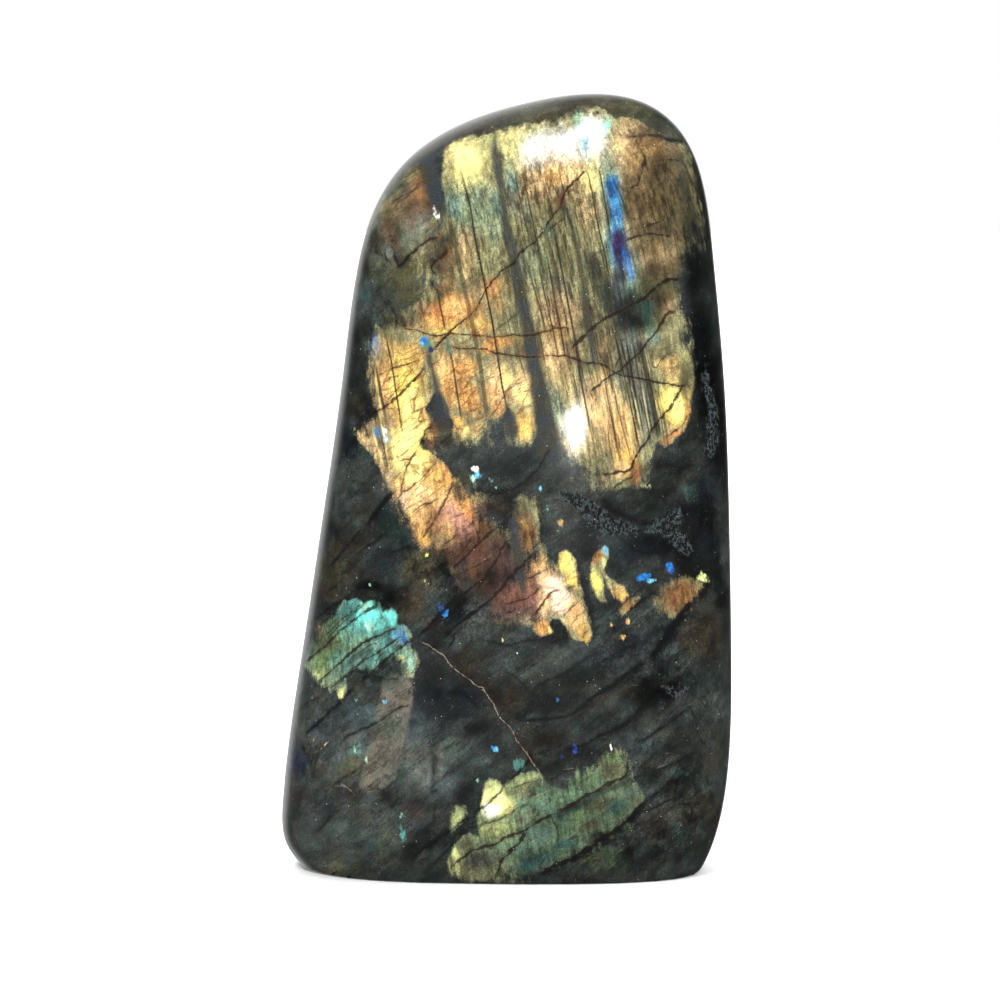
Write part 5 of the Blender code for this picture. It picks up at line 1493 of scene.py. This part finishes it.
    # Sparks.
    spark_cover = ramp(finish.number("spark_cover") + (flame - 0.5) * 0.9 + (sand - 0.5) * 0.9, 0.42, 0.86)
    spark = shade(finish, finish.triple("spark_colour"), 0.55 + ramp(sand, 0.32, 0.62) * 0.6)
    colour = blend(spark_cover, colour, spark)

    # Rough inclusion.
    rough_cover = ramp(finish.number("rough_edge") + (mottle - 0.5) * 9.0 + (sand - 0.5) * 4.0, -1.5, 1.5)
    crumbs = blend(ramp(sand, 0.45, 0.60), COLOURS["pitch"], COLOURS["slate"])
    pale_crumb = ramp(finish.cells(0.46 * MM, 0.7), 0.30, 0.10) * ramp(grit, 0.40, 0.56)
    crumbs = blend(pale_crumb, crumbs, COLOURS["pewter"])
    colour = blend(rough_cover * 0.9, colour, crumbs)

    # Cracks, dark where they are open and rusty beside the flash.
    sway = (grain((1.1 * MM,) * 3, 2.0, 0.6, shift=1.7) - 0.5) * 4.6
    swell = ramp(grain((1.7 * MM,) * 3, 2.0, 0.5, shift=2.6), 0.30, 0.66, 0.30, 1.15)
    crack, beside = line_covers(finish, "cracks", sway, swell)
    stain = blend(rusted, COLOURS["dusk"], COLOURS["rust"])
    colour = blend(beside * flash_cover * ramp(mottle, 0.35, 0.60) * 0.5, colour, stain)
    colour = blend(beside * (1.0 - flash_cover) * 0.45, colour, COLOURS["pitch"])
    colour = blend(crack * 0.94, colour, blend(flash_cover, COLOURS["pitch"], COLOURS["tar"]))
    seam, _ = line_covers(finish, "seams", sway * 0.7)
    colour = blend(seam * ramp(sand, 0.36, 0.54, 0.1, 0.95), colour, COLOURS["bone"])

    # Glints and specks.
    glint = ramp(finish.cells(1.7 * MM, 0.3), 0.06, 0.03) * ramp(clouds, 0.42, 0.55)
    colour = blend(glint * 0.85, colour, COLOURS["snow"])
    speck = ramp(finish.cells(1.2 * MM, 1.1), 0.13, 0.07) * ramp(mottle, 0.42, 0.58)
    colour = blend(speck * 0.8, colour, COLOURS["pitch"])

    shader = finish.shader
    connect(finish.tree, shader.inputs["Base Color"], colour)
    connect(finish.tree, shader.inputs["Roughness"], BODY_ROUGHNESS + rough_cover * 0.2)
    connect(finish.tree, shader.inputs["Coat Weight"], 1.0 - rough_cover * 0.7 - crack * 0.5)
    shader.inputs["IOR"].default_value = look.polish_index
    shader.inputs["Coat IOR"].default_value = look.polish_index
    shader.inputs["Coat Roughness"].default_value = look.polish_roughness
    shader.inputs["Specular IOR Level"].default_value = BODY_SPECULAR
    height = (grit - 0.5) * rough_cover - crack * 0.6 - seam * 0.5
    sockets = {"Strength": BUMP_STRENGTH, "Distance": BUMP_DEPTH, "Height": height}
    connect(finish.tree, shader.inputs["Normal"], finish.node("ShaderNodeBump", {}, sockets, "Normal"))
    return finish.material


# ---------------------------------------------------------------- what a user may change


class StoneSizes(bpy.types.PropertyGroup):
    across: IntProperty(name="Cuts across", description="Mesh cuts across the stone", default=95, min=9)
    through: IntProperty(name="Cuts through", description="Mesh cuts from front to back", default=19, min=5)
    up: IntProperty(name="Cuts up", description="Mesh cuts up the stone", default=163, min=9)


class StoneLook(bpy.types.PropertyGroup):
    flash_gain: FloatProperty(
        name="Flash gain", description="How bright the flash is", default=1.0, min=0.0, max=2.0
    )
    dull_gain: FloatProperty(
        name="Dull gain", description="How bright the stone without flash is", default=0.66, min=0.0, max=2.0
    )
    polish_index: FloatProperty(
        name="Polish index", description="Refractive index of the polished face", default=1.56, min=1.0
    )
    polish_roughness: FloatProperty(
        name="Polish roughness", description="Roughness of the polished face", default=0.05, min=0.0
    )


class StageLook(bpy.types.PropertyGroup):
    floor_reach: FloatProperty(
        name="Floor reach", description="Radius of the floor", default=2.0, unit="LENGTH", min=0.5
    )
    floor_colour: FloatVectorProperty(
        name="Floor colour", description="Colour of the floor", subtype="COLOR", default=(0.86, 0.86, 0.86)
    )
    backdrop_light: FloatProperty(
        name="Backdrop", description="Brightness of the backdrop as seen", default=1.0, min=0.0
    )
    room_light: FloatProperty(
        name="Room", description="Light from all round that the stone reflects", default=0.025, min=0.0
    )
    back_light: FloatProperty(
        name="Back light", description="Light from behind, which edges the rim", default=0.62, min=0.0
    )
    bright_side: FloatProperty(
        name="Bright side", description="How far left of the back the light lies", default=0.4
    )
    overhead_light: FloatProperty(
        name="Overhead light", description="Light from the ceiling", default=0.06, min=0.0
    )
    window_place: FloatVectorProperty(
        name="Window glint", description="View place of the window's glint", size=2, default=(576, 427)
    )
    window_strength: FloatProperty(
        name="Window power", description="Power of the window light", default=0.6, unit="POWER", min=0.0
    )


# ---------------------------------------------------------------- operators


class STONE_OT_make_stone(bpy.types.Operator):
    """Make the polished stone in place of its plain solid"""

    bl_idname = "stone.make_stone"
    bl_label = "Make Stone"

    def execute(self, context):
        sizes = context.scene.stone_sizes
        bm = divided_cube((sizes.across, sizes.through, sizes.up))
        shaped = stone_surface(np.array([v.co for v in bm.verts], float))
        for vert, place in zip(bm.verts, shaped):
            vert.co = place
        saw_base(bm)
        centre_over_origin(bm)
        mesh = bpy.data.meshes.new("polished_stone")
        bm.to_mesh(mesh)
        bm.free()
        mesh.shade_smooth()
        mesh.set_sharp_from_angle(angle=SHARP_ANGLE)
        mark_stone(mesh)
        mesh.materials.append(stone_finish(context.scene.stone_look))
        stone = bpy.data.objects.new("polished_stone", mesh)
        context.scene.collection.objects.link(stone)
        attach(stone, "root")
        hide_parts(NODE)
        return {"FINISHED"}


# The window's pane and the glow round it: height and width, and share of the power.
WINDOW_STEPS = (((0.022, 0.010), 0.4), ((0.070, 0.024), 0.12))
WINDOW_ROLL = math.radians(-12)
WINDOW_DISTANCE = 0.9  # from the stone, in metres

# Soft lamps that the polish doesn't mirror: name, place, aim, size and power.
SOFT_LAMPS = (
    ("key", (-0.55, -0.75, 1.3), (0, 0, 0.08), (0.7, 0.7), 26),
    ("fill", (0.9, -0.35, 1.0), (0, 0, 0.08), (0.7, 0.7), 14),
    ("floor_wash", (0, 1.2, 1.3), (0, 1.2, 0), (3.0, 2.0), 90),
)

FLOOR_SIDES = 96
FLOOR_ROUGHNESS = 0.9

# How far back, and how far up, a direction points where that light starts and where it is full.
BACK_FADE = (0.15, 0.75)
BACK_FALL = 0.8  # how fast the back light falls off to either side of its middle
OVERHEAD_FADE = (0.55, 0.9)


def surface_at(mesh, place):
    """The front vertex that shows nearest to a view place, and the normal there."""
    points, normals = points_and_normals(mesh)
    away = np.hypot(*(view_places(points) - place).T) + VIEW_WIDTH * (normals[:, 1] > 0)
    nearest = int(np.argmin(away))
    return points[nearest], normals[nearest]


def add_softbox(name, location, aim, size, power, mirrored=False, roll=0.0):
    """A flat light, turned to aim and rolled. Only a mirrored one, which is round, shows in the polish."""
    light = bpy.data.lights.new(name, "AREA")
    light.shape = "ELLIPSE" if mirrored else "RECTANGLE"
    light.size, light.size_y = size
    light.energy = power
    lamp = bpy.data.objects.new(name, light)
    lamp.location = location
    turned = (Vector(aim) - Vector(location)).to_track_quat("-Z", "Y")
    lamp.rotation_euler = (turned @ Quaternion((0, 0, 1), roll)).to_euler()
    lamp.visible_camera = False
    lamp.visible_glossy = mirrored
    bpy.context.scene.collection.objects.link(lamp)


def add_window(stone, place, size, power):
    """A light whose reflection shows at a view place."""
    point, normal = surface_at(stone.data, place)
    eye = camera_axes()[0]
    seen = (point - eye) / np.linalg.norm(point - eye)
    bounced = seen - 2 * (seen @ normal) * normal
    lamp_at = point + bounced * WINDOW_DISTANCE
    add_softbox("window", lamp_at, point, size, power, mirrored=True, roll=WINDOW_ROLL)


def add_floor(look):
    bm = bmesh.new()
    bmesh.ops.create_circle(bm, cap_ends=True, radius=look.floor_reach, segments=FLOOR_SIDES)
    mesh = bpy.data.meshes.new("floor")
    bm.to_mesh(mesh)
    bm.free()
    floor = bpy.data.objects.new("floor", mesh)
    bpy.context.scene.collection.objects.link(floor)
    finish = Finish("pale_floor")
    finish.shader.inputs["Base Color"].default_value = (*look.floor_colour, 1)
    finish.shader.inputs["Roughness"].default_value = FLOOR_ROUGHNESS
    mesh.materials.append(finish.material)
    floor.visible_glossy = False


def add_sky(look):
    """A white backdrop to look at, and a dim room with a bright side to light and reflect."""
    world = bpy.data.worlds.new("pale_room")
    world.use_nodes = True
    bpy.context.scene.world = world
    sky = Recipe(world.node_tree)
    toward = sky.node("ShaderNodeTexCoord", {}, {}, "Generated")
    x, y, z = sky.parts(toward)
    behind = sky.ramp(y - abs(x + look.bright_side) * BACK_FALL, *BACK_FADE)
    overhead = sky.ramp(z, *OVERHEAD_FADE)
    room = look.room_light + behind * look.back_light + overhead * look.overhead_light
    seen = sky.node("ShaderNodeLightPath", {}, {}, "Is Camera Ray")
    strength = room + seen * (look.backdrop_light - room)
    background = world.node_tree.nodes["Background"]
    background.inputs["Color"].default_value = (1, 1, 1, 1)
    connect(sky.tree, background.inputs["Strength"], strength)


def add_camera():
    eye, _, _, forward = camera_axes()
    lens = bpy.data.cameras.new("camera")
    lens.sensor_width = SENSOR
    lens.lens = SENSOR * VIEW_REACH / VIEW_WIDTH
    lens.shift_x = 0.5 - VIEW_MIDDLE[0] / VIEW_WIDTH
    lens.shift_y = VIEW_MIDDLE[1] / VIEW_WIDTH - 0.5
    camera = bpy.data.objects.new("camera", lens)
    camera.location = eye
    camera.rotation_euler = Vector(forward).to_track_quat("-Z", "Y").to_euler()
    bpy.context.scene.collection.objects.link(camera)
    bpy.context.scene.camera = camera


class STONE_OT_make_stage(bpy.types.Operator):
    """Make the floor, the lights and the camera"""

    bl_idname = "stone.make_stage"
    bl_label = "Make Stage"

    def execute(self, context):
        look = context.scene.stage_look
        add_floor(look)
        add_sky(look)
        add_camera()
        stone = bpy.data.objects["polished_stone"]
        for size, power in WINDOW_STEPS:
            add_window(stone, tuple(look.window_place), size, power * look.window_strength)
        for lamp in SOFT_LAMPS:
            add_softbox(*lamp)
        context.scene.view_settings.view_transform = "Standard"
        return {"FINISHED"}


class STONE_PT_panel(bpy.types.Panel):
    """Lists what can be made and changed"""

    bl_idname = "STONE_PT_panel"
    bl_label = "Polished Labradorite"
    bl_space_type = "VIEW_3D"
    bl_region_type = "UI"
    bl_category = "Stone"

    def draw(self, context):
        for name, group in (("Stone", "stone_sizes"), ("Finish", "stone_look"), ("Stage", "stage_look")):
            box = self.layout.box()
            box.label(text=name)
            owner = getattr(context.scene, group)
            for prop in owner.bl_rna.properties:
                if prop.identifier not in ("rna_type", "name"):
                    box.prop(owner, prop.identifier)
        self.layout.operator("stone.make_stone")
        self.layout.operator("stone.make_stage")


CLASSES = (StoneSizes, StoneLook, StageLook, STONE_OT_make_stone, STONE_OT_make_stage, STONE_PT_panel)


def register():
    for cls in CLASSES:
        bpy.utils.register_class(cls)
    bpy.types.Scene.stone_sizes = PointerProperty(type=StoneSizes)
    bpy.types.Scene.stone_look = PointerProperty(type=StoneLook)
    bpy.types.Scene.stage_look = PointerProperty(type=StageLook)


def unregister():
    del bpy.types.Scene.stage_look
    del bpy.types.Scene.stone_look
    del bpy.types.Scene.stone_sizes
    for cls in reversed(CLASSES):
        bpy.utils.unregister_class(cls)


def main():
    register()
    bpy.ops.stone.make_stone()
    bpy.ops.stone.make_stage()


if __name__ == "__main__":
    main()
